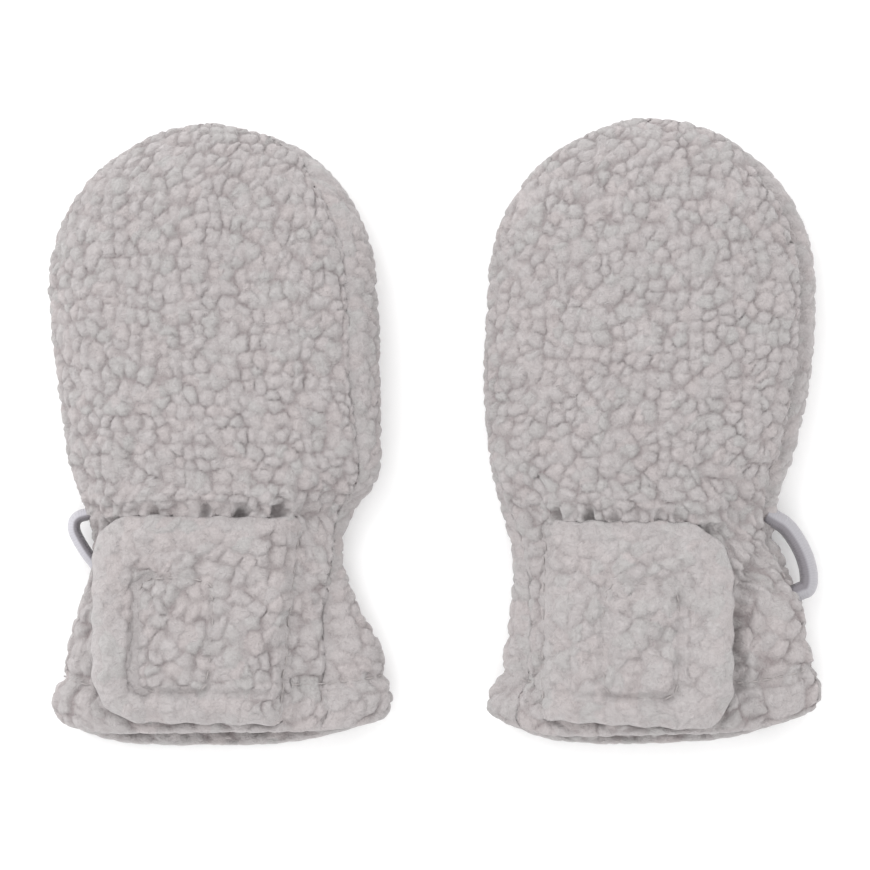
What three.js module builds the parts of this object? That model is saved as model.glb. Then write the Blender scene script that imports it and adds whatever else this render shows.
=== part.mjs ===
// A pair of thumbless baby mittens in curly fleece, laid flat with the finger ends towards +Y.
// Each mitten is a front and a back panel that meet at the side seams, a wrap-around closure flap
// with its hook and loop patches, and a folded ribbon loop at the side of the wrist.
// Millimetres, +Z up, origin on the table under the middle of the pair.
import * as THREE from "three";
import { mergeVertices } from "three/addons/utils/BufferGeometryUtils.js";

// Driving dimensions

const WALL = 3.8; // fleece with its pile
const HEM_WALL = 4.8; // the fleece is turned up and stitched at the mouth
const HEM_DEPTH = 11; // from the edge of the mouth to the line of stitches
const HEM_GROOVE = 0.8; // how far those stitches pull the pile in
const GROOVE_REACH = 1.1;
const EDGE_ROUND = 2.4; // radius of the turned edge
const EDGE_LEFT = 0.35; // share of the wall that is left at the very edge
const SEAM_GAP = 0.3;
const HEAD_Y = 33.8; // where the sides end and the round finger end begins
const TOP_FULLNESS = 2.8; // exponent of the upper half of a section
const UNDER_FULLNESS = 10; // the underside is flat with rounded sides
const UNDER_FLATTEN = 1.06;
const HEM_FADE = 42; // the curve of the mouth fades out this far up the cuff
const WRIST_Y = -20; // the elastic

const RIBBON_RISE = 3; // height of its fold
const RIBBON_THICK = 0.8;
const RIBBON_LIFT = 0.6; // its sides end this far above the seam

const FLAP_RIM = 4.8; // thickness of the turned rim
const FLAP_MIDDLE = 3; // thickness where it is stitched down
const FLAP_GAP = 0.35;
const FLAP_RIM_FROM = 3.5; // the rim thins out between these distances from the edge
const FLAP_RIM_TO = 6.5;
const FLAP_RELAX = 0.8; // the flap bridges the fall of the sides
const FLAP_GROOVE = 0.9;
const FLAP_SEWN_ROUND = 1.5; // radius of its corners at the sewn end
const PATCH_THICK = 0.6;
const PATCH_GAP = 0.3;
const PATCH_WIDTH = 17.6;
const PATCH_LENGTH = 26.4;
const PATCH_ROUND = 3;
const PATCH_DOWN = 15.2; // from the flap's top edge to the patch
const PATCH_MARGIN = 1.2; // the stitches lie this far outside the patch
const FLAP_OVER_PATCHES = 3.2 * PATCH_GAP + 2 * PATCH_THICK;

// Heights of the laid mitten: its crest, the level of its side seams, and how far it is off the table.
const LOFT_COLUMNS = ["y", "crest", "seam", "lift"];
const LOFT = [
  [-76, 17.2, 8.0, 0.0],
  [-58, 17.0, 8.0, 0.0],
  [-44, 16.2, 7.6, 0.0],
  [-32, 14.9, 7.2, 0.5],
  [-23, 14.4, 7.0, 0.9],
  [-19, 15.6, 7.3, 0.7],
  [-15, 18.2, 7.8, 0.2],
  [-10, 19.9, 8.2, 0.0],
  [-2, 21.2, 8.5, 0.0],
  [10, 22.0, 8.6, 0.0],
  [24, 22.0, 8.6, 0.0],
  [34, 21.4, 8.6, 0.0],
];

// Outline of each mitten from its own centre line, and how far the seams lie in from the outline.
const OUTLINE_COLUMNS = ["y", "left", "right", "seamLeft", "seamRight"];
const LEFT_OUTLINE = [
  [-69, -37.9, 41.0, 0, 14.6],
  [-66, -39.6, 42.1, 0, 14.4],
  [-62.4, -39.1, 42.1, 0, 14.2],
  [-57.6, -37.4, 41.1, 0, 13.4],
  [-50.4, -35.5, 38.7, 0, 11.0],
  [-43.2, -33.5, 35.1, 0, 7.0],
  [-36, -30.9, 32.2, 0, 3.0],
  [-31.7, -29.9, 30.9, 0, 1.2],
  [-26.4, -29.9, 31.0, 0, 1.0],
  [-21.6, -30.7, 32.9, 0, 1.8],
  [-18, -32.1, 34.9, 0, 2.2],
  [-14.4, -33.1, 37.7, 0, 2.8],
  [-10.8, -34.3, 39.2, 0, 3.2],
  [-7.2, -35.5, 39.7, 0, 3.8],
  [3.6, -36.9, 39.7, 0, 5.0],
  [14.4, -38.3, 39.5, 0, 6.0],
  [25.2, -39.6, 39.4, 0, 6.0],
  [33.8, -40.2, 38.7, 0, 6.0],
];
const RIGHT_OUTLINE = [
  [-68, -37.2, 39.0, 5.8, 0],
  [-65.8, -38.6, 40.2, 5.8, 0],
  [-62.4, -38.2, 40.5, 5.6, 0],
  [-57.6, -36.4, 40.0, 5.2, 0],
  [-50.4, -34.6, 37.9, 4.4, 0],
  [-43.2, -33.6, 37.0, 3.4, 0],
  [-36, -32.9, 34.3, 2.4, 0],
  [-31.7, -32.9, 32.4, 1.8, 0.4],
  [-26.4, -33.6, 30.4, 1.4, 0.8],
  [-21.6, -35.1, 29.7, 1.0, 1.2],
  [-18, -36.0, 30.1, 0.6, 1.6],
  [-14.4, -36.9, 30.9, 0.3, 2.0],
  [-10.8, -38.0, 32.1, 0, 2.4],
  [-7.2, -38.7, 33.6, 0, 2.4],
  [3.6, -39.9, 36.2, 0, 2.4],
  [14.4, -40.2, 38.1, 0, 2.4],
  [25.2, -39.7, 38.9, 0, 2.4],
  [33.8, -39.2, 39.1, 0, 2.4],
];

// Valleys between the gathers that the elastic makes, on the front and on the back.
const GATHER_COLUMNS = ["x", "depth", "half"];
const GATHER_ABOVE = 6.5; // how far they run out into the hand
const GATHER_BELOW = 5;
const LEFT_GATHERS = [
  [-23.5, 1.0, 1.7],
  [-13.4, 1.6, 1.8],
  [-1.9, 1.4, 1.7],
  [6.0, 2.1, 1.9],
  [14.2, 2.0, 2.0],
  [22.5, 0.9, 1.6],
];
const RIGHT_GATHERS = [
  [-23.6, 1.5, 1.8],
  [-13.0, 1.9, 1.9],
  [-6.3, 1.6, 1.7],
  [3.3, 1.2, 1.8],
  [12.4, 1.5, 1.9],
  [20.8, 0.8, 1.7],
];

// The flap's corners, from the mitten's centre line: the free end is round, the other end is sewn down.
const MITTENS = [
  {
    name: "left",
    axis: -52.5,
    outline: LEFT_OUTLINE,
    gathers: LEFT_GATHERS,
    headLength: 39.6,
    hem: { y: -68.8, tilt: 1.0, bowTop: 3.1, bowUnder: 6.2, squareLeft: 5.5, squareRight: 3 },
    flap: {
      freeTop: [-29.1, -20.1],
      freeBottom: [-29.1, -69.4],
      sewnTop: [22.3, -20.8],
      sewnBottom: [17.3, -70.2],
      roundTop: 10,
      roundBottom: 12.5,
      patchFrom: 11,
    },
    ribbon: {
      half: 1.5,
      path: [
        [-32.5, -19.7],
        [-33.3, -19.9],
        [-34.0, -21.0],
        [-34.1, -23.4],
        [-33.5, -26.0],
        [-32.6, -28.8],
        [-31.9, -30.6],
        [-30.9, -31.2],
      ],
    },
  },
  {
    name: "right",
    axis: 52,
    outline: RIGHT_OUTLINE,
    gathers: RIGHT_GATHERS,
    headLength: 41.1,
    hem: { y: -67.7, tilt: 2.5, bowTop: 5.0, bowUnder: 7.9, squareLeft: 2.8, squareRight: 2.4 },
    flap: {
      freeTop: [19.4, -21.8],
      freeBottom: [19.6, -71.8],
      sewnTop: [-27.4, -21.5],
      sewnBottom: [-28.3, -69.0],
      roundTop: 11.5,
      roundBottom: 8,
      patchFrom: 13.2,
    },
    ribbon: {
      half: 2,
      path: [
        [30.7, -21.7],
        [32.1, -22.3],
        [34.0, -23.9],
        [35.9, -26.8],
        [37.2, -30.2],
        [38.0, -33.4],
        [38.3, -36.0],
        [37.9, -37.8],
        [36.7, -38.5],
      ],
    },
  },
];

const FLEECE = { color: 0xc9c4c1, roughness: 0.95, metalness: 0 };
const PATCH_TAPE = { color: 0xd9d7d4, roughness: 0.85, metalness: 0 };
const RIBBON = { color: 0xd4d3da, roughness: 0.6, metalness: 0 };

// Numbers and tables

const clamp = (value, low, high) => Math.min(high, Math.max(low, value));
const mix = (a, b, share) => a + (b - a) * share;
const ease = (from, to, value) => {
  const share = clamp((value - from) / (to - from), 0, 1);
  return share * share * (3 - 2 * share);
};
const bell = (distance, reach) => Math.exp(-((distance / reach) ** 2));

// A column of a table at y, on a smooth curve through its rows.
function read(table, columns, name, y) {
  const column = columns.indexOf(name);
  const last = table.length - 1;
  const at = clamp(y, table[0][0], table[last][0]);
  let row = 0;
  while (row < last - 1 && table[row + 1][0] < at) row += 1;
  const slope = (k) => {
    const before = table[Math.max(k - 1, 0)];
    const after = table[Math.min(k + 1, last)];
    return (after[column] - before[column]) / (after[0] - before[0]);
  };
  const [from, to] = [table[row], table[row + 1]];
  const span = to[0] - from[0];
  const t = (at - from[0]) / span;
  return (
    (2 * t ** 3 - 3 * t ** 2 + 1) * from[column] +
    (t ** 3 - 2 * t ** 2 + t) * span * slope(row) +
    (3 * t ** 2 - 2 * t ** 3) * to[column] +
    (t ** 3 - t ** 2) * span * slope(row + 1)
  );
}

const loft = (name, y) => read(LOFT, LOFT_COLUMNS, name, y);
const outline = (mitten, name, y) => read(mitten.outline, OUTLINE_COLUMNS, name, y);

// A closed wall between an outer and an inner surface

// Both surfaces are functions of (u, v) from 0 to 1, and the outer one faces du x dv.
// us and vs are the outer grid's values, and innerUs and innerVs those of the plainer inner one.
function wall(outer, inner, us, vs, innerUs = us, innerVs = vs) {
  const points = [];
  const faces = [];
  const grid = (surface, across, along) => {
    const start = points.length;
    along.forEach((v) => across.forEach((u) => points.push(surface(u, v))));
    return (i, j) => start + j * across.length + i;
  };
  const cover = (index, across, along, outwards) => {
    for (let j = 0; j < along.length - 1; j += 1) {
      for (let i = 0; i < across.length - 1; i += 1) {
        const [a, b] = [index(i, j), index(i + 1, j)];
        const [d, c] = [index(i, j + 1), index(i + 1, j + 1)];
        faces.push(...(outwards ? [[a, b, c], [a, c, d]] : [[a, c, b], [a, d, c]]));
      }
    }
  };
  // The rim of a grid as [place along the rim, point], once round.
  const rim = (index, across, along) => {
    const [m, n] = [across.length - 1, along.length - 1];
    const round = [];
    for (let i = 0; i < m; i += 1) round.push([across[i], index(i, 0)]);
    for (let j = 0; j < n; j += 1) round.push([1 + along[j], index(m, j)]);
    for (let i = m; i > 0; i -= 1) round.push([3 - across[i], index(i, n)]);
    for (let j = n; j > 0; j -= 1) round.push([4 - along[j], index(0, j)]);
    return [...round, [4, index(0, 0)]];
  };
  const outerIndex = grid(outer, us, vs);
  const innerIndex = grid(inner, innerUs, innerVs);
  cover(outerIndex, us, vs, true);
  cover(innerIndex, innerUs, innerVs, false);
  const [outerRim, innerRim] = [rim(outerIndex, us, vs), rim(innerIndex, innerUs, innerVs)];
  let [i, j] = [0, 0];
  while (i < outerRim.length - 1 || j < innerRim.length - 1) {
    const nextOuter = i < outerRim.length - 1 ? outerRim[i + 1][0] : Infinity;
    const nextInner = j < innerRim.length - 1 ? innerRim[j + 1][0] : Infinity;
    const level = Math.abs(nextOuter - nextInner) < 1e-9;
    const outerFirst = level
      ? apart(points, outerRim[i + 1][1], innerRim[j][1]) <
        apart(points, outerRim[i][1], innerRim[j + 1][1])
      : nextOuter < nextInner;
    if (outerFirst) {
      faces.push([outerRim[i][1], innerRim[j][1], outerRim[i + 1][1]]);
      i += 1;
    } else {
      faces.push([outerRim[i][1], innerRim[j][1], innerRim[j + 1][1]]);
      j += 1;
    }
  }
  return closedGeometry(points, faces);
}

const apart = (points, a, b) => Math.hypot(...points[a].map((value, k) => value - points[b][k]));

// Points and faces as a geometry, with the faces left out that a pole has closed up.
function closedGeometry(points, faces) {
  const raw = new THREE.BufferGeometry();
  raw.setAttribute("position", new THREE.Float32BufferAttribute(points.flat(), 3));
  raw.setIndex(faces.flat());
  const merged = mergeVertices(raw, 1e-3);
  const kept = [];
  for (let k = 0; k < merged.index.count; k += 3) {
    const face = [0, 1, 2].map((corner) => merged.index.getX(k + corner));
    if (new Set(face).size === 3) kept.push(...face);
  }
  merged.setIndex(kept);
  merged.computeVertexNormals();
  return merged;
}

const evenly = (count) => Array.from({ length: count + 1 }, (_, k) => k / count);

// The skin of a mitten

// A row is {y} on the sides, or {turn} in radians on the round finger end.
// angle goes round a section: 0 at the right, a quarter turn at the crest, a half turn at the left.
function skin(mitten, angle, row, inset) {
  const turned = row.turn ?? 0;
  const y = row.turn === undefined ? row.y : HEAD_Y;
  const across = Math.cos(angle);
  const [left, right] = [outline(mitten, "left", y), outline(mitten, "right", y)];
  const half = (right - left) / 2 - inset;
  const out = Math.hypot(Math.cos(turned) * across, Math.sin(turned));
  const x = (left + right) / 2 + half * Math.cos(turned) * across;
  const seam = loft("seam", y);
  const over = Math.sin(angle) >= 0;
  const dome = (fullness) => Math.sqrt(Math.max(0, 1 - out ** fullness));
  const crest = loft("crest", y) - seam - inset;
  const depth = seam - loft("lift", y) - inset;
  const z = over
    ? seam + crest * dome(TOP_FULLNESS)
    : seam - depth * Math.min(1, UNDER_FLATTEN * dome(UNDER_FULLNESS));
  const drawn = inset > 0 ? 0 : pulledIn(mitten, x, row, over) * dome(TOP_FULLNESS);
  const onSide = row.turn === undefined;
  const beyond = onSide ? mouthCurve(mitten, angle, y) : (mitten.headLength - inset) * Math.sin(turned);
  return [mitten.axis + x, y + beyond, z + (over ? -drawn : drawn)];
}

// How far the gathers and the hem's stitches pull the skin in.
function pulledIn(mitten, x, row, over) {
  if (row.turn !== undefined) return 0;
  const off = row.y - WRIST_Y;
  const share = bell(off, off > 0 ? GATHER_ABOVE : GATHER_BELOW);
  const gathers = mitten.gathers.reduce((sum, [at, depth, half]) => sum + depth * bell(x - at, half), 0);
  const hem = HEM_GROOVE * bell(row.y - mitten.hem.y - HEM_DEPTH, GROOVE_REACH);
  return share * gathers * (over ? 1 : 0.6) + (over ? hem : 0);
}

// The mouth's edge is tilted and bowed, more on the underside than over the top.
function mouthCurve(mitten, angle, y) {
  const { hem } = mitten;
  const across = Math.cos(angle);
  const share = 1 - ease(0, HEM_FADE, y - hem.y);
  const bow = mix(hem.bowUnder, hem.bowTop, (1 + Math.sin(angle)) / 2);
  const square = across < 0 ? hem.squareLeft : hem.squareRight;
  return share * (hem.tilt * across - bow * (1 - Math.abs(across) ** square));
}

const insetAt = (mitten, y) => mix(HEM_WALL, WALL, ease(HEM_DEPTH - 2, HEM_DEPTH + 2, y - mitten.hem.y));

// The skin or the inside of the wall, drawn together at the turned edge of the mouth.
function shell(mitten, angle, row, inside) {
  const y = row.y ?? HEAD_Y;
  const inset = insetAt(mitten, y);
  const [outerPoint, innerPoint] = [skin(mitten, angle, row, 0), skin(mitten, angle, row, inset)];
  const fromEdge = y - mitten.hem.y;
  const round = Math.sqrt(1 - (1 - clamp(fromEdge / EDGE_ROUND, 0, 1)) ** 2);
  const share = mix(EDGE_LEFT, 1, round);
  const [from, to] = inside ? [innerPoint, outerPoint] : [outerPoint, innerPoint];
  return from.map((value, k) => mix((value + to[k]) / 2, value, share));
}

// Panels

const SIDE_ROWS = [
  0, 0.8, 2.4, 6, 9.6, HEM_DEPTH, 12.4, 16, 20.5, 25.5, 30.5, 35, 39, 42.5, 45.5, 48, 50.5, 53.5, 58, 64,
  71, 79, 90,
];
const HEAD_ROWS = 9;
const FRONT_COLUMNS = 30;
const BACK_COLUMNS = 20;
const INNER_COLUMNS = 12;

// All rows from the mouth to the finger end.
function rowsOf(mitten) {
  const sides = SIDE_ROWS.map((distance) => mitten.hem.y + distance).filter((y) => y < HEAD_Y - 2);
  const rows = [...sides.map((y) => ({ y })), { y: HEAD_Y }];
  for (let k = 1; k <= HEAD_ROWS; k += 1) rows.push({ turn: ((Math.PI / 2) * k) / HEAD_ROWS });
  return rows;
}

// v runs over the sides' length up to HEAD_SHARE, and then over the turn of the finger end.
const HEAD_SHARE = 0.7;
function vOf(mitten, row) {
  if (row.turn !== undefined) return mix(HEAD_SHARE, 1, row.turn / (Math.PI / 2));
  return (HEAD_SHARE * (row.y - mitten.hem.y)) / (HEAD_Y - mitten.hem.y);
}
function rowAt(mitten, v) {
  if (v > HEAD_SHARE + 1e-9) return { turn: ((Math.PI / 2) * (v - HEAD_SHARE)) / (1 - HEAD_SHARE) };
  return { y: mitten.hem.y + (v / HEAD_SHARE) * (HEAD_Y - mitten.hem.y) };
}

// The angle of a seam in a row, moved to one side by half the gap between the panels.
function seamAngle(mitten, side, row, away) {
  const y = row.y ?? HEAD_Y;
  const half = (outline(mitten, "right", y) - outline(mitten, "left", y)) / 2;
  const inset = Math.max(0, outline(mitten, side === "left" ? "seamLeft" : "seamRight", y));
  const fromSide = Math.acos(1 - inset / half) * (1 - seamFade(row));
  const angle = side === "left" ? Math.PI - fromSide : fromSide;
  const step = 0.02;
  const [before, here, after] = [-step, 0, step].map((turn) => skin(mitten, angle + turn, row, 0));
  const inner = skin(mitten, angle, row, insetAt(mitten, y));
  const [along, face] = [new THREE.Vector3(), new THREE.Vector3()];
  along.subVectors(new THREE.Vector3(...after), new THREE.Vector3(...before));
  face.subVectors(new THREE.Vector3(...inner), new THREE.Vector3(...here));
  const speed = along.length() / (2 * step);
  const slant = Math.max(0.5, along.clone().normalize().cross(face.normalize()).length());
  const fade = 1 - tipShare(row);
  return angle + (away * fade * SEAM_GAP) / 2 / slant / Math.max(speed, 4);
}

// Towards the tip of the finger end both seams run into the outline,
// and the panels part upwards instead of sideways.
const seamFade = (row) => (row.turn === undefined ? 0 : ease(0.7, 1.2, row.turn));
const tipShare = (row) => (row.turn === undefined ? 0 : ease(0.9, 1.3, row.turn));

function panel(mitten, isFront) {
  const columns = isFront ? FRONT_COLUMNS : BACK_COLUMNS;
  const point = (inside) => (u, v) => {
    const row = rowAt(mitten, v);
    // The front runs from the left seam over the crest, the back from the right seam round underneath.
    const [from, to] = isFront
      ? [seamAngle(mitten, "left", row, -1), seamAngle(mitten, "right", row, 1)]
      : [seamAngle(mitten, "right", row, -1), seamAngle(mitten, "left", row, 1) - 2 * Math.PI];
    const [x, y, z] = shell(mitten, mix(from, to, u), row, inside);
    const part = ((isFront ? 1 : -1) * SEAM_GAP * tipShare(row)) / 2;
    return [x, y, z + (isFront ? part : Math.max(part, -z))];
  };
  const vs = rowsOf(mitten).map((row) => vOf(mitten, row));
  return wall(point(false), point(true), evenly(columns), vs, evenly(INNER_COLUMNS), vs);
}

// Closure flap and its patches

// The front's height over the plan point (x, y), both from the mitten's centre line.
function heightAt(mitten, x, y, relax) {
  let rowY = y;
  let across = 0;
  for (let pass = 0; pass < 6; pass += 1) {
    const [left, right] = [outline(mitten, "left", rowY), outline(mitten, "right", rowY)];
    across = clamp((2 * x - left - right) / (right - left), -1, 1);
    rowY = y - mouthCurve(mitten, Math.acos(across), rowY);
  }
  const seam = loft("seam", rowY);
  return seam + (loft("crest", rowY) - seam) * Math.sqrt(1 - Math.abs(relax * across) ** TOP_FULLNESS);
}

// Sizes of the flap: p runs from its free edge to its sewn edge, q down from its top edge.
function flapFrame(mitten) {
  const { freeTop, freeBottom, sewnTop, sewnBottom } = mitten.flap;
  const width = Math.abs(sewnTop[0] + sewnBottom[0] - freeTop[0] - freeBottom[0]) / 2;
  const length = Math.abs(freeTop[1] + sewnTop[1] - freeBottom[1] - sewnBottom[1]) / 2;
  const place = (p, q) => {
    const [s, t] = [p / width, q / length];
    return [0, 1].map((k) => mix(mix(freeTop[k], sewnTop[k], s), mix(freeBottom[k], sewnBottom[k], s), t));
  };
  return { width, length, place };
}

// Distance inside the outline of a rectangle with a radius at its free corners.
function insideOf(p, q, width, length, roundTop, roundBottom, roundSewn) {
  const [x, y] = [p - width / 2, length / 2 - q];
  const freeRadius = y > 0 ? roundTop : roundBottom;
  const radius = x < 0 ? freeRadius : roundSewn;
  const [dx, dy] = [Math.abs(x) - width / 2 + radius, Math.abs(y) - length / 2 + radius];
  return radius - Math.min(Math.max(dx, dy), 0) - Math.hypot(Math.max(dx, 0), Math.max(dy, 0));
}

// How much a round corner takes off a line that runs at a distance from the edge.
const cutOff = (radius, fromEdge) =>
  fromEdge >= radius ? 0 : radius - Math.sqrt(Math.max(0, radius ** 2 - (radius - fromEdge) ** 2));

// Where a line of the flap's grid meets its rounded outline, at a distance q from the top.
function flapSpan(mitten, q) {
  const { width, length } = flapFrame(mitten);
  const { roundTop, roundBottom } = mitten.flap;
  return [
    Math.max(cutOff(roundTop, q), cutOff(roundBottom, length - q)),
    width - Math.max(cutOff(FLAP_SEWN_ROUND, q), cutOff(FLAP_SEWN_ROUND, length - q)),
  ];
}

// The outline of the patch as a distance: 0 on its stitches, more inside.
function insidePatch(mitten, p, q, margin) {
  const local = [p - mitten.flap.patchFrom + margin, q - PATCH_DOWN + margin];
  const [width, length] = [PATCH_WIDTH + 2 * margin, PATCH_LENGTH + 2 * margin];
  return insideOf(...local, width, length, PATCH_ROUND, PATCH_ROUND, PATCH_ROUND);
}

function flapHeights(mitten, p, q) {
  const { width, length, place } = flapFrame(mitten);
  const { roundTop, roundBottom } = mitten.flap;
  const [x, y] = place(p, q);
  const base = heightAt(mitten, x, y, mix(1, FLAP_RELAX, ease(width, width - 16, p)));
  const fromEdge = Math.max(0, insideOf(p, q, width, length, roundTop, roundBottom, FLAP_SEWN_ROUND));
  const inwards = ease(FLAP_RIM_FROM, FLAP_RIM_TO, fromEdge);
  const under = base + mix(FLAP_GAP, FLAP_OVER_PATCHES, inwards);
  const stitched = FLAP_GROOVE * bell(insidePatch(mitten, p, q, PATCH_MARGIN), GROOVE_REACH);
  const over = under + mix(FLAP_RIM, FLAP_MIDDLE, inwards) - stitched;
  const round = Math.sqrt(1 - (1 - clamp(fromEdge / EDGE_ROUND, 0, 1)) ** 2);
  const [middle, share] = [(under + over) / 2, mix(EDGE_LEFT, 1, round)];
  return { x: mitten.axis + x, y, under: mix(middle, under, share), over: mix(middle, over, share) };
}

// The flap's grid is denser at its edges, where it is round.
const FLAP_ACROSS = [
  0, 0.02, 0.055, 0.13, 0.2, 0.235, 0.3, 0.4, 0.5, 0.58, 0.615, 0.65, 0.74, 0.84, 0.92, 0.97, 1,
];
const FLAP_DOWN = [
  0, 0.012, 0.045, 0.1, 0.17, 0.24, 0.275, 0.31, 0.38, 0.48, 0.58, 0.68, 0.77, 0.825, 0.855, 0.885,
  0.93, 0.96, 0.988, 1,
];
const FLAP_UNDER = [0, 0.03, 0.07, 0.12, 0.17, 0.24, 0.34, 0.45, 0.56, 0.67, 0.78, 0.86, 0.93, 0.97, 1];

// Flaps with the free end on the left have u from free to sewn, so that the surface faces up.
function flap(mitten) {
  const { length } = flapFrame(mitten);
  const mirrored = mitten.flap.freeTop[0] > mitten.flap.sewnTop[0];
  const surface = (side) => (u, v) => {
    const q = (1 - v) * length;
    const [from, to] = flapSpan(mitten, q);
    const point = flapHeights(mitten, mix(from, to, mirrored ? 1 - u : u), q);
    return [point.x, point.y, point[side]];
  };
  const across = mirrored ? FLAP_ACROSS.map((u) => 1 - u).reverse() : FLAP_ACROSS;
  const along = FLAP_DOWN.map((v) => 1 - v).reverse();
  const plain = FLAP_UNDER;
  const plainAcross = mirrored ? plain.map((u) => 1 - u).reverse() : plain;
  return wall(surface("over"), surface("under"), across, along, plainAcross, plain);
}

// A patch of tape between the flap and the cuff. level 0 is the loop side, on the cuff.
const PATCH_GRID = [0, 0.08, 0.35, 0.65, 0.92, 1];
function patch(mitten, level) {
  const { place, width } = flapFrame(mitten);
  const mirrored = mitten.flap.freeTop[0] > mitten.flap.sewnTop[0];
  const surface = (raise) => (u, v) => {
    const q = (1 - v) * PATCH_LENGTH;
    const cut = cutOff(PATCH_ROUND, Math.min(q, PATCH_LENGTH - q));
    const p = mix(cut, PATCH_WIDTH - cut, mirrored ? 1 - u : u) + mitten.flap.patchFrom;
    const [x, y] = place(p, q + PATCH_DOWN);
    const base = heightAt(mitten, x, y, mix(1, FLAP_RELAX, ease(width, width - 16, p)));
    return [mitten.axis + x, y, base + PATCH_GAP + level * (PATCH_GAP + PATCH_THICK) + raise];
  };
  return wall(surface(PATCH_THICK), surface(0), PATCH_GRID, PATCH_GRID);
}

// Ribbon loop

// A ribbon folded along its middle, its fold up, sewn into the side seam with both ends.
function ribbonLoop(mitten) {
  const { half, path } = mitten.ribbon;
  const seam = loft("seam", WRIST_Y - 8) + RIBBON_LIFT;
  const curve = new THREE.CatmullRomCurve3(
    path.map(([x, y]) => new THREE.Vector3(mitten.axis + x, y, seam - RIBBON_RISE / 2)),
    false,
    "centripetal",
  );
  const outwards = Math.sign(path[0][0]);
  const surface = (inset) => (u, v) => {
    const along = outwards > 0 ? 1 - v : v;
    const centre = curve.getPoint(along);
    const tangent = curve.getTangent(along);
    const angle = Math.PI * (1 - u);
    const sideways = (half - inset) * Math.cos(angle);
    const rise = (RIBBON_RISE - inset) * Math.sin(angle);
    const turn = outwards > 0 ? -1 : 1;
    return [
      centre.x + turn * tangent.y * sideways,
      centre.y - turn * tangent.x * sideways,
      centre.z + rise,
    ];
  };
  return wall(surface(0), surface(RIBBON_THICK), evenly(6), evenly(14), evenly(4), evenly(14));
}

// The pair

const part = new THREE.Group();
part.name = "baby_mittens";

function piece(name, geometry, look) {
  const mesh = new THREE.Mesh(geometry, new THREE.MeshStandardMaterial(look));
  mesh.name = name;
  return mesh;
}

for (const mitten of MITTENS) {
  const one = new THREE.Group();
  one.add(
    piece(`${mitten.name}_front`, panel(mitten, true), FLEECE),
    piece(`${mitten.name}_back`, panel(mitten, false), FLEECE),
    piece(`${mitten.name}_flap`, flap(mitten), FLEECE),
    piece(`${mitten.name}_loop_patch`, patch(mitten, 0), PATCH_TAPE),
    piece(`${mitten.name}_hook_patch`, patch(mitten, 1), PATCH_TAPE),
    piece(`${mitten.name}_ribbon`, ribbonLoop(mitten), RIBBON),
  );
  part.add(one);
}

const middle = new THREE.Box3().setFromObject(part).getCenter(new THREE.Vector3());
part.children.forEach((one) => one.position.set(-middle.x, -middle.y, 0));

export default part;
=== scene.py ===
# %% [markdown]
# # A pair of baby mittens in curly fleece
# The real mittens are two layers of fleece with a thick curly pile, sewn together at the sides,
# with elastic inside the wrist, a closure flap over the cuff and a ribbon loop at the side.
# The imported model gives their solids. Here each cloth panel is made again with a fine skin, so
# that the pile, the seams and the stitches can be real relief and not only paint.
# The first cell loads the model.

# %% Load the imported model
import math

import bpy
import numpy as np
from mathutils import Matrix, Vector


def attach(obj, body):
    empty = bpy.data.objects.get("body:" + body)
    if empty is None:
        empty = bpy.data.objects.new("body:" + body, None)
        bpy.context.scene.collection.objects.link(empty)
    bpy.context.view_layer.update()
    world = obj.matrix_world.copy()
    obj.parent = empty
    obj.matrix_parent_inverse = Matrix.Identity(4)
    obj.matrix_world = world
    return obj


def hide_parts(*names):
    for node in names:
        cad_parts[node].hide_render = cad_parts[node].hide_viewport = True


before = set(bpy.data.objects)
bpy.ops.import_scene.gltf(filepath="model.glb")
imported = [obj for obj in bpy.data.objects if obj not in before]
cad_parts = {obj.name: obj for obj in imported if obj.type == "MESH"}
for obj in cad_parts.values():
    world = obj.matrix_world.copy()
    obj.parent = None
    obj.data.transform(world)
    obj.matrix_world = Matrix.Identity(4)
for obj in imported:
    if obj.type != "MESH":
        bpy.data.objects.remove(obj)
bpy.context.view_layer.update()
MM = 0.001

# %% [markdown]
# ## The shape of a mitten
# A laid mitten is a row of cross sections from the mouth to the finger end. Each section is a
# flat oval: its width comes from the outline seen from above, and its height from how full the
# mitten lies. The same curves as in the solids are used on nearly the same short tables, so the
# fine skin lies within about a millimetre of the solid's. Sizes are in millimetres until a mesh
# is made.

# %% Sizes of the cloth and tables of the sections
WALL = 3.8
HEM_WALL = 4.8
HEM_DEPTH = 11
HEM_GROOVE = 1.1
EDGE_ROUND = 2.4
EDGE_LEFT = 0.14
SEAM_GAP = -0.5
PILE_OUT = 0.6
HEAD_Y = 33.8
TOP_FULLNESS = 2.8
UNDER_FULLNESS = 10
UNDER_FLATTEN = 1.06
HEM_FADE = 42
WRIST_Y = -20
GATHER_ABOVE = 6.5
GATHER_BELOW = 5
CENTRING = (0.1115, 0.5602, 0)

LOFT_COLUMNS = ["y", "crest", "seam", "lift"]
LOFT = [
    [-76, 17.2, 8.0, 0.0],
    [-58, 17.0, 8.0, 0.0],
    [-44, 16.2, 7.6, 0.0],
    [-32, 14.9, 7.2, 0.5],
    [-23, 14.4, 7.0, 0.9],
    [-19, 15.6, 7.3, 0.7],
    [-15, 18.2, 7.8, 0.2],
    [-10, 19.9, 8.2, 0.0],
    [-2, 21.2, 8.5, 0.0],
    [10, 22.0, 8.6, 0.0],
    [24, 22.0, 8.6, 0.0],
    [34, 21.4, 8.6, 0.0],
]

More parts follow.
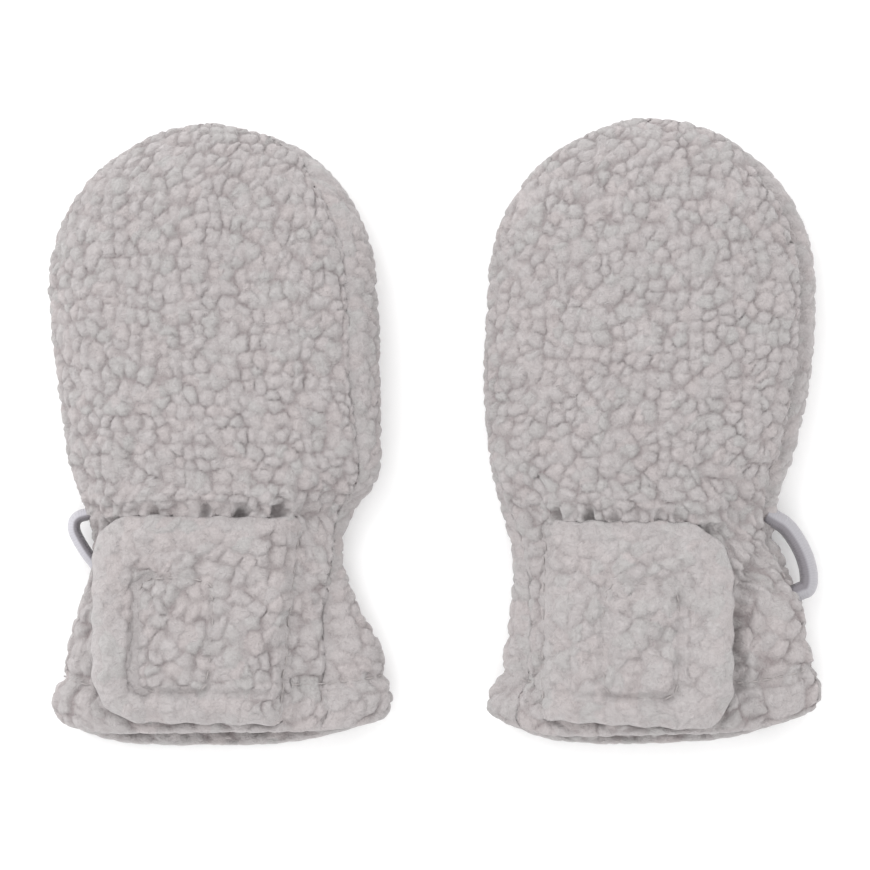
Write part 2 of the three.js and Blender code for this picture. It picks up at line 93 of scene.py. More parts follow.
OUTLINE_COLUMNS = ["y", "left", "right", "seam_left", "seam_right"]
LEFT_OUTLINE = [
    [-69, -37.9, 41.0, 0, 14.6],
    [-66, -39.6, 42.1, 0, 14.4],
    [-62.4, -39.1, 42.1, 0, 14.2],
    [-57.6, -37.4, 41.1, 0, 13.4],
    [-50.4, -35.5, 38.7, 0, 11.0],
    [-43.2, -33.5, 34.6, 0, 7.0],
    [-36, -30.9, 31.8, 0, 3.0],
    [-31.7, -29.9, 30.4, 0, 1.2],
    [-26.4, -29.9, 30.5, 0, 1.0],
    [-21.6, -30.7, 32.0, 0, 1.8],
    [-18, -32.1, 34.0, 0, 2.2],
    [-14.4, -33.1, 37.2, 0, 2.8],
    [-10.8, -34.3, 38.8, 0, 3.2],
    [-7.2, -35.5, 39.4, 0, 3.8],
    [3.6, -36.9, 39.3, 0, 5.0],
    [14.4, -38.3, 39.1, 0, 6.0],
    [25.2, -39.6, 39.0, 0, 6.0],
    [33.8, -40.2, 38.4, 0, 6.0],
]
RIGHT_OUTLINE = [
    [-68, -38.4, 40.0, 5.8, 0],
    [-65.8, -39.4, 41.0, 5.8, 0],
    [-62.4, -38.9, 41.1, 5.6, 0],
    [-57.6, -36.7, 40.4, 5.2, 0],
    [-50.4, -34.6, 37.9, 4.4, 0],
    [-43.2, -33.6, 37.0, 3.4, 0],
    [-36, -32.9, 34.3, 2.4, 0],
    [-31.7, -32.9, 32.4, 1.8, 0.4],
    [-26.4, -33.6, 30.4, 1.4, 0.8],
    [-21.6, -35.1, 29.7, 1.0, 1.2],
    [-18, -36.0, 30.1, 0.6, 1.6],
    [-14.4, -36.9, 30.9, 0.3, 2.0],
    [-10.8, -38.0, 32.1, 0, 2.4],
    [-7.2, -38.7, 33.6, 0, 2.4],
    [3.6, -39.9, 36.2, 0, 2.4],
    [14.4, -40.2, 38.1, 0, 2.4],
    [25.2, -39.7, 38.9, 0, 2.4],
    [33.8, -39.2, 39.1, 0, 2.4],
]
print("sections:", len(LEFT_OUTLINE), "left,", len(RIGHT_OUTLINE), "right")

# %% [markdown]
# The creases are listed one by one. The elastic draws the cloth into gathers, deep just above the
# flap and fading out into the hand, and the filled-out hand has a few broad soft troughs where
# the two layers slide on each other. Each one is a row: where it is, how deep and how wide.

# %% Tables of the gathers and troughs
# Each row has x, depth and half width.
LEFT_GATHERS = [
    [-27.5, 0.6, 1.2],
    [-23.5, 0.9, 1.4],
    [-18.2, 0.5, 1.2],
    [-13.4, 2.4, 0.8],
    [-7.8, 0.6, 1.2],
    [-1.9, 2.8, 0.8],
    [2.3, 0.6, 1.2],
    [6.1, 4.6, 1.1],
    [10.4, 0.7, 1.2],
    [14.6, 4.6, 1.4],
    [18.6, 0.6, 1.3],
    [22.5, 0.8, 1.4],
    [27.0, 0.6, 1.3],
]
RIGHT_GATHERS = [
    [-28.0, 0.8, 1.3],
    [-21.6, 2.0, 0.8],
    [-18.2, 0.5, 1.2],
    [-14.2, 2.6, 0.8],
    [-8.7, 2.0, 0.8],
    [-4.0, 0.6, 1.2],
    [1.2, 1.8, 0.8],
    [5.4, 0.6, 1.2],
    [9.6, 0.5, 1.3],
    [14.4, 0.7, 1.5],
    [18.8, 0.5, 1.3],
    [22.8, 0.6, 1.4],
    [26.4, 0.5, 1.3],
]
# Each row has x, y, the way it runs in degrees, length, width and depth.
LEFT_TROUGHS = [
    [-20, -4, 72, 13, 3.0, 0.9],
    [9, -2, 108, 12, 3.0, 0.8],
    [24, 4, 96, 18, 3.4, 0.8],
    [-6, 12, 58, 15, 4.0, 0.6],
    [-27, 22, 80, 16, 4.0, 0.5],
    [14, 40, 30, 16, 4.5, 0.5],
    [-18, -44, 84, 12, 3.0, 0.7],
    [29, -50, 104, 14, 3.0, 0.9],
]
RIGHT_TROUGHS = [
    [-24, 0, 84, 16, 3.2, 0.9],
    [-8, -5, 98, 11, 2.8, 0.8],
    [14, 0, 78, 15, 3.2, 0.9],
    [4, 20, 116, 16, 4.0, 0.6],
    [-20, 36, 140, 15, 4.5, 0.5],
    [24, 30, 74, 16, 4.0, 0.5],
    [27, -48, 82, 15, 2.8, 1.0],
    [32, -58, 66, 9, 2.4, 0.8],
    [20.4, -48, 90, 25, 1.9, 2.5],
]
print("gathers:", len(LEFT_GATHERS) + len(RIGHT_GATHERS))

# %% [markdown]
# The two mittens are close to each other's mirror image, but each lies in its own way. One
# record for each holds its tables, the mouth's curve and the corners of its flap.

# %% The two mittens
MITTENS = {
    "left": {
        "axis": -52.5,
        "outline": LEFT_OUTLINE,
        "gathers": LEFT_GATHERS,
        "troughs": LEFT_TROUGHS,
        "head_length": 39.6,
        "pinch": {"left": 1.2, "right": 1.3},
        "hem": {"y": -70.0, "tilt": 0.3, "top": 2.3, "under": 6.2, "left": 5.5, "right": 3},
        "flap": {
            "free_top": (-29.1, -20.1),
            "free_bottom": (-29.1, -69.4),
            "sewn_top": (22.3, -20.8),
            "sewn_bottom": (17.3, -70.2),
            "round_top": 10,
            "round_bottom": 12.5,
            "patch_from": 11,
            "stitches": (2.6, 0.7, 1.1),
            "sewn_fall": 0.45,
        },
        "ribbon": {
            "half": 1.5,
            "path": [
                (-31.2, -20.3), (-33.0, -20.9), (-34.0, -22.0), (-34.1, -24.0), (-33.3, -26.0),
                (-32.2, -27.9), (-31.1, -29.6), (-30.1, -30.9),
            ],
        },
    },
    "right": {
        "axis": 52,
        "outline": RIGHT_OUTLINE,
        "gathers": RIGHT_GATHERS,
        "troughs": RIGHT_TROUGHS,
        "head_length": 41.1,
        "pinch": {"left": 1.2, "right": 2.3},
        "hem": {"y": -68.3, "tilt": 0.8, "top": 4.6, "under": 7.4, "left": 4.6, "right": 3.2},
        "flap": {
            "free_top": (19.4, -21.8),
            "free_bottom": (18.9, -71.8),
            "sewn_top": (-27.4, -21.5),
            "sewn_bottom": (-28.3, -69.0),
            "round_top": 14,
            "round_bottom": 10,
            "patch_from": 13.2,
            "stitches": (1.2, 0.9, 0.9),
            "sewn_fall": 0.8,
        },
        "ribbon": {
            "half": 2.2,
            "path": [
                (30.3, -21.7), (31.8, -22.6), (33.5, -24.3), (35.4, -27.2), (36.9, -30.3),
                (37.8, -33.5), (38.0, -36.2), (37.5, -38.0), (36.2, -38.6),
            ],
        },
    },
}
print("mittens:", ", ".join(MITTENS))

# %% [markdown]
# A table is read on a smooth curve through its rows, so a few rows are enough. NumPy reads it
# for thousands of points in one go, which keeps a fine mesh quick to make.

# %% Reading tables


def ease(start, end, value):
    share = np.clip((value - start) / (end - start), 0, 1)
    return share * share * (3 - 2 * share)


def bell(distance, reach):
    return np.exp(-((distance / reach) ** 2))


def mix(a, b, share):
    return a + (b - a) * share


def quarter_round(distance, radius):
    """How far a round edge has risen, from 0 at the edge to 1 at its radius."""
    return np.sqrt(1 - (1 - np.clip(distance / radius, 0, 1)) ** 2)


def read(table, columns, name, y):
    """A column of a table at y, on a smooth curve through its rows."""
    rows = np.asarray(table, float)
    places, values = rows[:, 0], rows[:, columns.index(name)]
    slopes = np.empty_like(values)
    slopes[1:-1] = (values[2:] - values[:-2]) / (places[2:] - places[:-2])
    slopes[0] = (values[1] - values[0]) / (places[1] - places[0])
    slopes[-1] = (values[-1] - values[-2]) / (places[-1] - places[-2])
    at = np.clip(y, places[0], places[-1])
    k = np.clip(np.searchsorted(places, at, side="left") - 1, 0, len(places) - 2)
    span = places[k + 1] - places[k]
    t = (at - places[k]) / span
    start = (2 * t**3 - 3 * t**2 + 1) * values[k] + (t**3 - 2 * t**2 + t) * span * slopes[k]
    return start + (3 * t**2 - 2 * t**3) * values[k + 1] + (t**3 - t**2) * span * slopes[k + 1]


def loft(name, y):
    return read(LOFT, LOFT_COLUMNS, name, y)


def outline(mitten, name, y):
    return read(mitten["outline"], OUTLINE_COLUMNS, name, y)


print("width at the widest:", round(float(outline(MITTENS["left"], "right", 10.0)) * 2, 1), "mm")

# %% [markdown]
# `skin` gives the point of a mitten's surface at an angle round the section and a row along its
# length. A row on the sides has its y, and a row on the round finger end has a turn as well.
# An inset moves the surface inwards, which gives the inside of the cloth.

# %% The skin and the wall
HEM_EASE = 2
ANGLE_STEP = 0.02
LEAST_SPEED = 4
LEAST_SLANT = 0.5


def dome(out, fullness):
    return np.sqrt(np.maximum(0, 1 - out**fullness))


def mouth_curve(mitten, angle, y):
    hem = mitten["hem"]
    across = np.cos(angle)
    share = 1 - ease(0, HEM_FADE, y - hem["y"])
    bow = mix(hem["under"], hem["top"], (1 + np.sin(angle)) / 2)
    square = np.where(across < 0, hem["left"], hem["right"])
    return share * (hem["tilt"] * across - bow * (1 - np.abs(across) ** square))


def skin(mitten, angle, y, turn, inset):
    across = np.cos(angle)
    left, right = outline(mitten, "left", y), outline(mitten, "right", y)
    half = (right - left) / 2 - inset
    out = np.hypot(np.cos(turn) * across, np.sin(turn))
    x = (left + right) / 2 + half * np.cos(turn) * across
    seam = loft("seam", y)
    over = np.sin(angle) >= 0
    top = (loft("crest", y) - seam - inset) * dome(out, TOP_FULLNESS)
    flat = np.minimum(1, UNDER_FLATTEN * dome(out, UNDER_FULLNESS))
    under = (seam - loft("lift", y) - inset) * flat
    z = np.where(over, seam + top, seam - under)
    along = y + mouth_curve(mitten, angle, y) + (mitten["head_length"] - inset) * np.sin(turn)
    return np.stack(np.broadcast_arrays(mitten["axis"] + x, along, z), -1)


def wall_at(mitten, y):
    from_edge = y - mitten["hem"]["y"]
    return mix(HEM_WALL, WALL, ease(HEM_DEPTH - HEM_EASE, HEM_DEPTH + HEM_EASE, from_edge))


def seam_fade(turn):
    return ease(0.7, 1.2, turn)


def tip_share(turn):
    return ease(0.9, 1.3, turn)


def seam_angle(mitten, side, y, turn, away):
    """The angle of a side seam in each row, moved by half the gap between the panels."""
    half = (outline(mitten, "right", y) - outline(mitten, "left", y)) / 2
    inset = np.maximum(0, outline(mitten, "seam_" + side, y))
    from_side = np.arccos(1 - inset / half) * (1 - seam_fade(turn))
    angle = math.pi - from_side if side == "left" else from_side
    before, here, after = (skin(mitten, angle + k * ANGLE_STEP, y, turn, 0) for k in (-1, 0, 1))
    inner = skin(mitten, angle, y, turn, wall_at(mitten, y))
    along, face = after - before, inner - here
    speed = np.linalg.norm(along, axis=-1)
    cross = np.linalg.norm(np.cross(along, face), axis=-1)
    slant = cross / np.maximum(1e-9, speed * np.linalg.norm(face, axis=-1))
    speed = np.maximum(speed / (2 * ANGLE_STEP), LEAST_SPEED)
    slant = np.maximum(LEAST_SLANT, slant)
    return angle + away * (1 - tip_share(turn)) * SEAM_GAP / 2 / slant / speed


print("wall at the hem and in the hand:", wall_at(MITTENS["left"], np.array([-66.0, 0.0])))

# %% [markdown]
# The relief that a sewer makes goes into this base form: a seam draws the pile in, so each
# panel rolls inwards along it, the hem has its line of stitches, and the elastic gathers the
# wrist. The depth is measured inwards from the skin. Only the filled hand swells outwards, where
# it presses against the flap's upper edge.

# %% Depth of the creases
SEAM_REACH = 1.5
PINNED_REACH = 0.6
BULGE = 2.9
PIT_ABOVE = 0.8
PIT_REACH = 1.4
PIT_SHARE = 0.85
FADING_SHARE = 0.15
GATHER_UNDER = 0.7
TROUGH_BEND = 0.02


def trough_depth(mitten, x, y):
    depth = np.zeros_like(x)
    for at_x, at_y, towards, length, width, deep in mitten["troughs"]:
        turn = math.radians(towards)
        dx, dy = x - at_x, y - at_y
        along = dx * math.cos(turn) + dy * math.sin(turn)
        aside = dy * math.cos(turn) - dx * math.sin(turn) + TROUGH_BEND * along**2
        depth += deep * bell(along, length) * bell(aside, width)
    return depth


def flap_edge(mitten):
    """The y of a flap's upper edge, where the elastic's deepest pits are."""
    flap = mitten["flap"]
    return (flap["free_top"][1] + flap["sewn_top"][1]) / 2


def gather_depth(mitten, x, y, over):
    off = y - (flap_edge(mitten) + PIT_ABOVE if over else WRIST_Y)
    lean = 0.06 * np.maximum(off, 0) * np.sin(x * 0.9)
    drawn = sum(deep * bell(x + lean - at, half) for at, deep, half in mitten["gathers"])
    if over:
        return drawn * (PIT_SHARE * bell(off, PIT_REACH) + FADING_SHARE * bell(off, GATHER_ABOVE))
    return GATHER_UNDER * bell(off, np.where(off > 0, GATHER_ABOVE, GATHER_BELOW)) * drawn


def hand_bulge(mitten, x, y):
    """The filled hand swells against the flap's upper edge, which hides the narrow wrist."""
    flap = mitten["flap"]
    low, high = sorted([flap["free_top"][0], flap["sewn_top"][0]])
    edge = flap_edge(mitten)
    beside = ease(low - 1, low + 6, x) * (1 - ease(high - 6, high + 1, x))
    return BULGE * beside * ease(edge - 2.4, edge - 0.2, y) * (1 - ease(edge + 2.5, edge + 10, y))


def crease_depth(mitten, x, y, turn, over, from_seam, pinch):
    """How far the sewing and the slack draw the skin in, in millimetres."""
    from_hem = y - mitten["hem"]["y"] - HEM_DEPTH
    hem = HEM_GROOVE * bell(from_hem, 1.0) + 0.5 * bell(from_hem, 3.0)
    seam = pinch * bell(from_seam, SEAM_REACH)
    slack = trough_depth(mitten, x, y)
    loose = gather_depth(mitten, x, y, over) + slack
    if over:
        loose = loose - hand_bulge(mitten, x, y)
    return hem + seam + np.where(turn > 0, slack, loose)


print("deepest gather:", round(float(gather_depth(MITTENS["left"], 14.2, -20.0, True)), 1), "mm")

# %% [markdown]
# ## Cloth as a closed wall
# Each piece of cloth is two grids of points, its outer face and its inner face, joined round
# their rims. The outer grid is fine enough for the curls of the pile, and the inner one, which
# only shows through the mouth, is coarse. The rim is closed with a strip that steps along
# whichever of the two rims is behind.

# %% From grids to a mesh


def grid_faces(start, rows, columns, outwards):
    index = start + np.arange(rows * columns).reshape(rows, columns)
    a, b, c, d = index[:-1, :-1], index[:-1, 1:], index[1:, 1:], index[1:, :-1]
    corners = (a, b, c, d) if outwards else (a, d, c, b)
    return np.stack(corners, -1).reshape(-1, 4)


def rim_of(start, us, vs):
    """The rim of a grid, once round, as places along it and the indices of its points."""
    m, n = len(us), len(vs)
    index = start + np.arange(n * m).reshape(n, m)
    places = np.concatenate([us[:-1], 1 + vs[:-1], 3 - us[:0:-1], 4 - vs[:0:-1], [4]])
    loop = [index[0, :-1], index[:-1, -1], index[-1, :0:-1], index[:0:-1, 0], index[:1, 0]]
    return places, np.concatenate(loop)


def rim_faces(outer, inner):
    (outer_places, a), (inner_places, b) = outer, inner
    faces, i, j = [], 0, 0
    while i < len(a) - 1 or j < len(b) - 1:
        next_outer = outer_places[i + 1] if i < len(a) - 1 else math.inf
        next_inner = inner_places[j + 1] if j < len(b) - 1 else math.inf
        if next_outer <= next_inner:
            faces.append((a[i], b[j], a[i + 1]))
            i += 1
        else:
            faces.append((a[i], b[j], b[j + 1]))
            j += 1
    return np.array(faces)


def cloth_mesh(name, outer, inner, grids, values, knit=False):
    """A closed wall. grids holds the outer us, vs and the inner us, vs, each from 0 to 1.
    values are numbers at the outer and the inner points, kept under their names for the node
    trees, and knit says which of the inner faces show the knitted back."""
    us, vs, inner_us, inner_vs = grids
    points = np.concatenate([outer.reshape(-1, 3), inner.reshape(-1, 3)])
    start = len(us) * len(vs)
    quads = grid_faces(0, len(vs), len(us), True)
    back = grid_faces(start, len(inner_vs), len(inner_us), False)
    rim = rim_faces(rim_of(0, us, vs), rim_of(start, inner_us, inner_vs))
    corners = np.concatenate([quads.ravel(), back.ravel(), rim.ravel()])
    sizes = np.concatenate([np.full(len(quads) + len(back), 4), np.full(len(rim), 3)])
    mesh = bpy.data.meshes.new(name)
    mesh.vertices.add(len(points))
    mesh.vertices.foreach_set("co", ((points + CENTRING) * MM).ravel())
    mesh.loops.add(len(corners))
    mesh.loops.foreach_set("vertex_index", corners.astype(np.int32))
    mesh.polygons.add(len(sizes))
    starts = np.concatenate([[0], np.cumsum(sizes)[:-1]])
    mesh.polygons.foreach_set("loop_start", starts.astype(np.int32))
    mesh.update(calc_edges=True)
    side = mesh.attributes.new("back side", "BOOLEAN", "FACE")
    shown = np.zeros(len(sizes), bool)
    shown[len(quads):len(quads) + len(back)] = knit
    side.data.foreach_set("value", shown)
    for key, both in values.items():
        stored = mesh.attributes.new(key, "FLOAT", "POINT")
        stored.data.foreach_set("value", np.concatenate([numbers.ravel() for numbers in both]))
    mesh.validate()
    return mesh


def evenly(count):
    return np.linspace(0, 1, count + 1)


print("faces of a small grid:", len(grid_faces(0, 4, 5, True)))

# %% [markdown]
# ## Panels
# A panel is spread over its sections so that its points are the same distance apart all over,
# as threads in cloth are. Each section is measured round, and the angles are then read off at
# equal lengths.

# %% Spreading a panel over its sections
FINE = 0.5
HEAD_SHARE = 0.62
CUFF_CURLS = 1.45
DEEPEST_SHARE = 0.8


def panel_rows(mitten, step, hem_step):
    """Rows from the mouth to the tip: their y, their turn and their share of the length."""
    start = mitten["hem"]["y"]
    turned_edge = np.array([0, 0.25, 0.6, 1.05, 1.6])
    hem = np.arange(2.1, HEM_DEPTH + 1.5, hem_step)
    sides = np.arange(hem[-1] + step, HEAD_Y - start - step / 2, step)
    ys = np.concatenate([start + turned_edge, start + hem, start + sides, [HEAD_Y]])
    count = int(mitten["head_length"] * 1.2 / step)
    turns = np.linspace(0, math.pi / 2, count + 1)[1:]
    y = np.concatenate([ys, np.full(count, HEAD_Y)])
    turn = np.concatenate([np.zeros(len(ys)), turns])
    share = np.concatenate(
        [HEAD_SHARE * (ys - start) / (HEAD_Y - start), mix(HEAD_SHARE, 1, turns / (math.pi / 2))]
    )
    return y, turn, share


def panel_ends(mitten, front, y, turn):
    if front:
        return seam_angle(mitten, "left", y, turn, -1), seam_angle(mitten, "right", y, turn, 1)
    right = seam_angle(mitten, "right", y, turn, -1)
    return right, seam_angle(mitten, "left", y, turn, 1) - 2 * math.pi


def even_angles(mitten, front, y, turn, columns):
    """Angles that cut each section of a panel into equal lengths, and each section's length."""
    first, last = panel_ends(mitten, front, y, turn)
    dense = mix(first[:, None], last[:, None], evenly(240)[None, :])
    points = skin(mitten, dense, y[:, None], turn[:, None], 0)
    lengths = np.linalg.norm(np.diff(points, axis=1), axis=-1)
    run = np.concatenate([np.zeros((len(y), 1)), np.cumsum(lengths, axis=1)], axis=1)
    angles = np.empty((len(y), columns + 1))
    for k, total in enumerate(run[:, -1]):
        even = evenly(columns)
        angles[k] = mix(first[k], last[k], even) if total < 1 else np.interp(even * total, run[k], dense[k])
    return angles, run[:, -1]


def panel_faces(mitten, front, y, turn, angles, lengths):
    """The outer and inner face of a panel over a grid of angles, creased. With them come how much
    pile stands at each point, and the place on the cloth across and along it."""
    y, turn = y[:, None], turn[:, None]
    wall = wall_at(mitten, y)
    outside = skin(mitten, angles, y, turn, 0)
    outside[..., :2] = skin(mitten, angles, y, turn, -PILE_OUT)[..., :2]
    inside = skin(mitten, angles, y, turn, wall)
    place = evenly(angles.shape[1] - 1)[None, :]
    from_seam = np.minimum(place, 1 - place) * lengths[:, None]
    x = outside[..., 0] - mitten["axis"]
    by_left = (place < 0.5) == front
    pinch = np.where(by_left, mitten["pinch"]["left"], mitten["pinch"]["right"])
    depth = crease_depth(mitten, x, y, turn, front, from_seam, pinch)
    creased = outside + (inside - outside) * (np.minimum(depth, DEEPEST_SHARE * wall) / wall)[..., None]
    from_edge = y - mitten["hem"]["y"]
    round_ = quarter_round(from_edge, EDGE_ROUND)
    share = (mix(EDGE_LEFT, 1, round_) * np.ones_like(angles))[..., None]
    middle = (creased + inside) / 2
    outer, inner = mix(middle, creased, share), mix(middle, inside, share)
    part = SEAM_GAP * tip_share(turn) / 2
    for face in (outer, inner):
        face[..., 2] += part if front else np.maximum(-part, -face[..., 2])
    growth = mix(CUFF_CURLS, 1, ease(20, 46, from_edge))
    middle_line = outside[:, angles.shape[1] // 2]
    steps = np.linalg.norm(np.diff(middle_line, axis=0), axis=1)
    run = np.concatenate([[0], np.cumsum(steps / growth[1:, 0])])
    pinned = bell(from_edge - HEM_DEPTH, PINNED_REACH)
    sewn = 0.4 * bell(from_seam, 0.8) + (0 if front else 0.35 * bell(from_seam, 9))
    pile = (1 - 0.5 * pinned) * (1 - sewn) * mix(0.3, growth**0.3, ease(0, 1.2, from_edge))
    turned_up = 1 - ease(HEM_DEPTH - 1.5, HEM_DEPTH, from_edge)
    weft = (place - 0.5) * lengths[:, None] / growth
    warp = run[:, None] * np.ones_like(angles)
    values = {"pile": (pile, pile * turned_up), "weft": (weft, weft), "warp": (warp, -warp)}
    return outer, inner, values


print("rows at this fineness:", len(panel_rows(MITTENS["left"], FINE, FINE)[0]))

# %% [markdown]
# ## Node trees from Python
# A node tree is easier to read as a formula. `Wire` wraps a socket, so that `1 - wire` or
# `wire * 0.5` adds the Math node for it, and `Nodes.make` adds any other node from its type, its
# settings and its inputs. The same two classes serve the shaders and the Geometry Nodes.

# %% A small class for sockets and one for trees


class Wire:
    def __init__(self, nodes, socket):
        self.nodes = nodes
        self.socket = socket

    def maths(self, operation, *values):
        return self.nodes.make("ShaderNodeMath", {"operation": operation}, dict(enumerate(values)))

    def __neg__(self):
        return self.maths("MULTIPLY", self, -1)

    def at_most(self, other):
        return self.maths("MINIMUM", self, other)

    def at_least(self, other):
        return self.maths("MAXIMUM", self, other)


OPERATORS = {"add": "ADD", "sub": "SUBTRACT", "mul": "MULTIPLY", "truediv": "DIVIDE", "pow": "POWER"}


def plain(operation):
    return lambda wire, other: wire.maths(operation, wire, other)


def reflected(operation):
    return lambda wire, other: wire.maths(operation, other, wire)


for sign, operation in OPERATORS.items():
    setattr(Wire, f"__{sign}__", plain(operation))
    setattr(Wire, f"__r{sign}__", reflected(operation))


class Nodes:
    def __init__(self, tree):
        self.tree = tree

    def fill(self, node, inputs):
        """Links or sets a node's inputs, by name or number."""
        for key, value in inputs.items():
            if isinstance(value, Wire):
                self.tree.links.new(value.socket, node.inputs[key])
            else:
                node.inputs[key].default_value = value

    def make(self, kind, settings=None, inputs=None, output=0):
        """Adds a node. Its settings come first, then its inputs."""
        node = self.tree.nodes.new(kind)
        for key, value in (settings or {}).items():
            setattr(node, key, value)
        self.fill(node, inputs or {})
        return Wire(self, node.outputs[output])

    def vector(self, operation, *values):
        return self.make("ShaderNodeVectorMath", {"operation": operation}, dict(enumerate(values)))

    def blend(self, share, first, second):
        """The second colour mixed into the first."""
        return self.make("ShaderNodeMix", {"data_type": "RGBA"}, {0: share, 6: first, 7: second}, 2)


print("wires carry:", ", ".join(OPERATORS))

# %% [markdown]
# ## Finishes
# Fleece of this kind is pale warm grey polyester. Its curls scatter light so softly that they
# look bright on their tops and only a little darker and warmer down between them. Painted maps
# could hold that, but the colour follows the relief exactly if it reads the numbers that the
# pile's tree leaves on every point, so the material paints that shade into its greys by those.
# Fine noise gives the single fibres, and a sheen stands for the fibre ends that catch light from
# the side.

# %% Helpers for finishes
WEFT_PITCH = 0.6
WARP_PITCH = 0.4


class Finish(Nodes):
    """A material, with the nodes that the finishes have in common."""

    def __init__(self, name):
        self.material = bpy.data.materials.new(name)
        self.material.use_nodes = True
        super().__init__(self.material.node_tree)

    def place(self):
        return self.make("ShaderNodeTexCoord", {}, {}, "Object")

    def attribute(self, name):
        return self.make("ShaderNodeAttribute", {"attribute_name": name}, {}, "Fac")

    def noise(self, place, scale, detail=2.0, roughness=0.5, curl=0.0):
        size = {"Scale": scale, "Detail": detail, "Roughness": roughness, "Distortion": curl}
        return self.make("ShaderNodeTexNoise", {}, {"Vector": place, **size}, "Fac")

    def bumped(self, height, strength, distance):
        values = {"Height": height, "Strength": strength, "Distance": distance}
        return self.make("ShaderNodeBump", {}, values)

    def shaded(self, values):
        """Fills the shader's sockets and gives the material."""
        self.fill(self.tree.nodes["Principled BSDF"], values)
        return self.material


def shade(red, green, blue):
    """A colour picked as it looks on a screen, from 0 to 255, as the shader wants it."""
    parts = [v / 255 for v in (red, green, blue)]
    return (*[v / 12.92 if v <= 0.04045 else ((v + 0.055) / 1.055) ** 2.4 for v in parts], 1)


def curly_fleece():
    n = Finish("Curly fleece")
    place, tint = n.place(), n.attribute("tint")
    fibres = n.noise(place, 1500, 2.0, 0.6, curl=1.0)
    strands = n.noise(place, 620, 3.0, 0.65, curl=1.6)
    cloud = n.noise(place, 110, 3.0, 0.6)
    top = n.blend(cloud, shade(164, 159, 159), shade(183, 178, 178))
    top = n.blend((tint - 0.55) * 0.9, top, shade(180, 170, 169))
    top = n.blend((0.4 - tint) * 0.9, top, shade(168, 170, 168))
    # Painted shade: the colour is darker and warmer down between the curls, by how deep each point lies.
    # The strand and fibre noise added to it is the fleece's own mottle.
    painted_crease_shade = n.attribute("pile") * (1.0 - n.attribute("curl"))
    dark = painted_crease_shade * painted_crease_shade * 0.4 + (0.5 - strands) * 0.9 + (0.5 - fibres) * 0.7 + 0.1
    return n.shaded({
        "Base Color": n.blend(dark, top, shade(140, 131, 131)),
        "Roughness": 0.95,
        "Sheen Weight": 0.3,
        "Sheen Roughness": 0.6,
        "Specular IOR Level": 0.1,
        "Normal": n.bumped(strands + fibres * 0.4, 0.9, 0.0007),
    })


def knitted_back():
    """The back of the fleece, which shows through the mouth: a fine knit with a light nap."""
    n = Finish("Knitted back")
    place = n.place()
    knit = {"Vector": place, "Scale": 250.0, "Distortion": 1.5, "Detail": 1.0}
    wales = n.make("ShaderNodeTexWave", {"bands_direction": "X"}, knit, "Fac")
    nap = n.noise(place, 900, 3.0, 0.6)
    return n.shaded({
        "Base Color": n.blend(wales * 0.4 + nap * 0.6, shade(150, 143, 142), shade(176, 170, 169)),
        "Roughness": 0.95,
        "Specular IOR Level": 0.1,
        "Normal": n.bumped(wales + nap, 0.5, 0.0003),
    })


def tape(name, scale, low, high):
    """Hook or loop tape: rows of hooks are larger and sharper than the tangle of loops."""
    n = Finish(name)
    cell = {"Vector": n.place(), "Scale": scale, "Randomness": 0.35}
    tufts = n.make("ShaderNodeTexVoronoi", {"feature": "F1"}, cell, "Distance")
    # The colour darkens from each tuft's top down into the gaps, as the bump falls: painted shade.
    return n.shaded({
        "Base Color": n.blend(tufts * 1.2, high, low),
        "Roughness": 0.7,
        "Normal": n.bumped(1.0 - tufts, 0.8, 0.0004),
    })


def satin_ribbon(name, face, depth):
    """Satin weave: fine threads across the band, a firm edge, and an inner leaf painted darker, as painted
    shade inside the fold.
    """
    n = Finish(name)
    across, along = n.attribute("across"), n.attribute("along")
    threads = across.maths("SINE", along * (2 * math.pi / WEFT_PITCH))
    warp = across.maths("SINE", across * (2 * math.pi / WARP_PITCH))
    fold = {"Value": across, "From Min": 4.0, "From Max": 5.0}
    leaf = n.make("ShaderNodeMapRange", {"interpolation_type": "SMOOTHSTEP"}, fold)
    # The inner leaf gets a dark grey for the shade inside the fold: painted shade.
    colour = n.blend(leaf, shade(116, 112, 117), face)
    return n.shaded({
        "Base Color": n.blend(threads * depth + depth, colour, shade(128, 124, 132)),
        "Roughness": 0.42,
        "Sheen Weight": 0.2,
        "Normal": n.bumped(threads + warp * 0.6, 0.35, 0.00012),
    })


def sewing_thread():
    n = Finish("Sewing thread")
    twist = n.noise(n.place(), 2600, 2.0)
    # The thread has the fleece's colour, painted darker for the shade of the dip it lies in: painted shade.
    return n.shaded({
        "Base Color": n.blend(twist, shade(150, 144, 143), shade(166, 161, 160)),
        "Roughness": 0.7,
        "Normal": n.bumped(twist, 0.5, 0.0001),
    })


FLEECE = curly_fleece()
BACK = knitted_back()
LOOP_TAPE = tape("Loop tape", 1600.0, shade(176, 172, 170), shade(205, 202, 200))
HOOK_TAPE = tape("Hook tape", 700.0, shade(160, 156, 154), shade(210, 207, 205))
# The right ribbon's face is a greyer shade than the left's, and its weave shows more.
RIBBONS = {
    "left": satin_ribbon("Satin ribbon, clean", shade(178, 176, 183), 0.03),
    "right": satin_ribbon("Satin ribbon, worn", shade(163, 161, 166), 0.06),
}
THREAD = sewing_thread()
print("finishes:", len(bpy.data.materials))

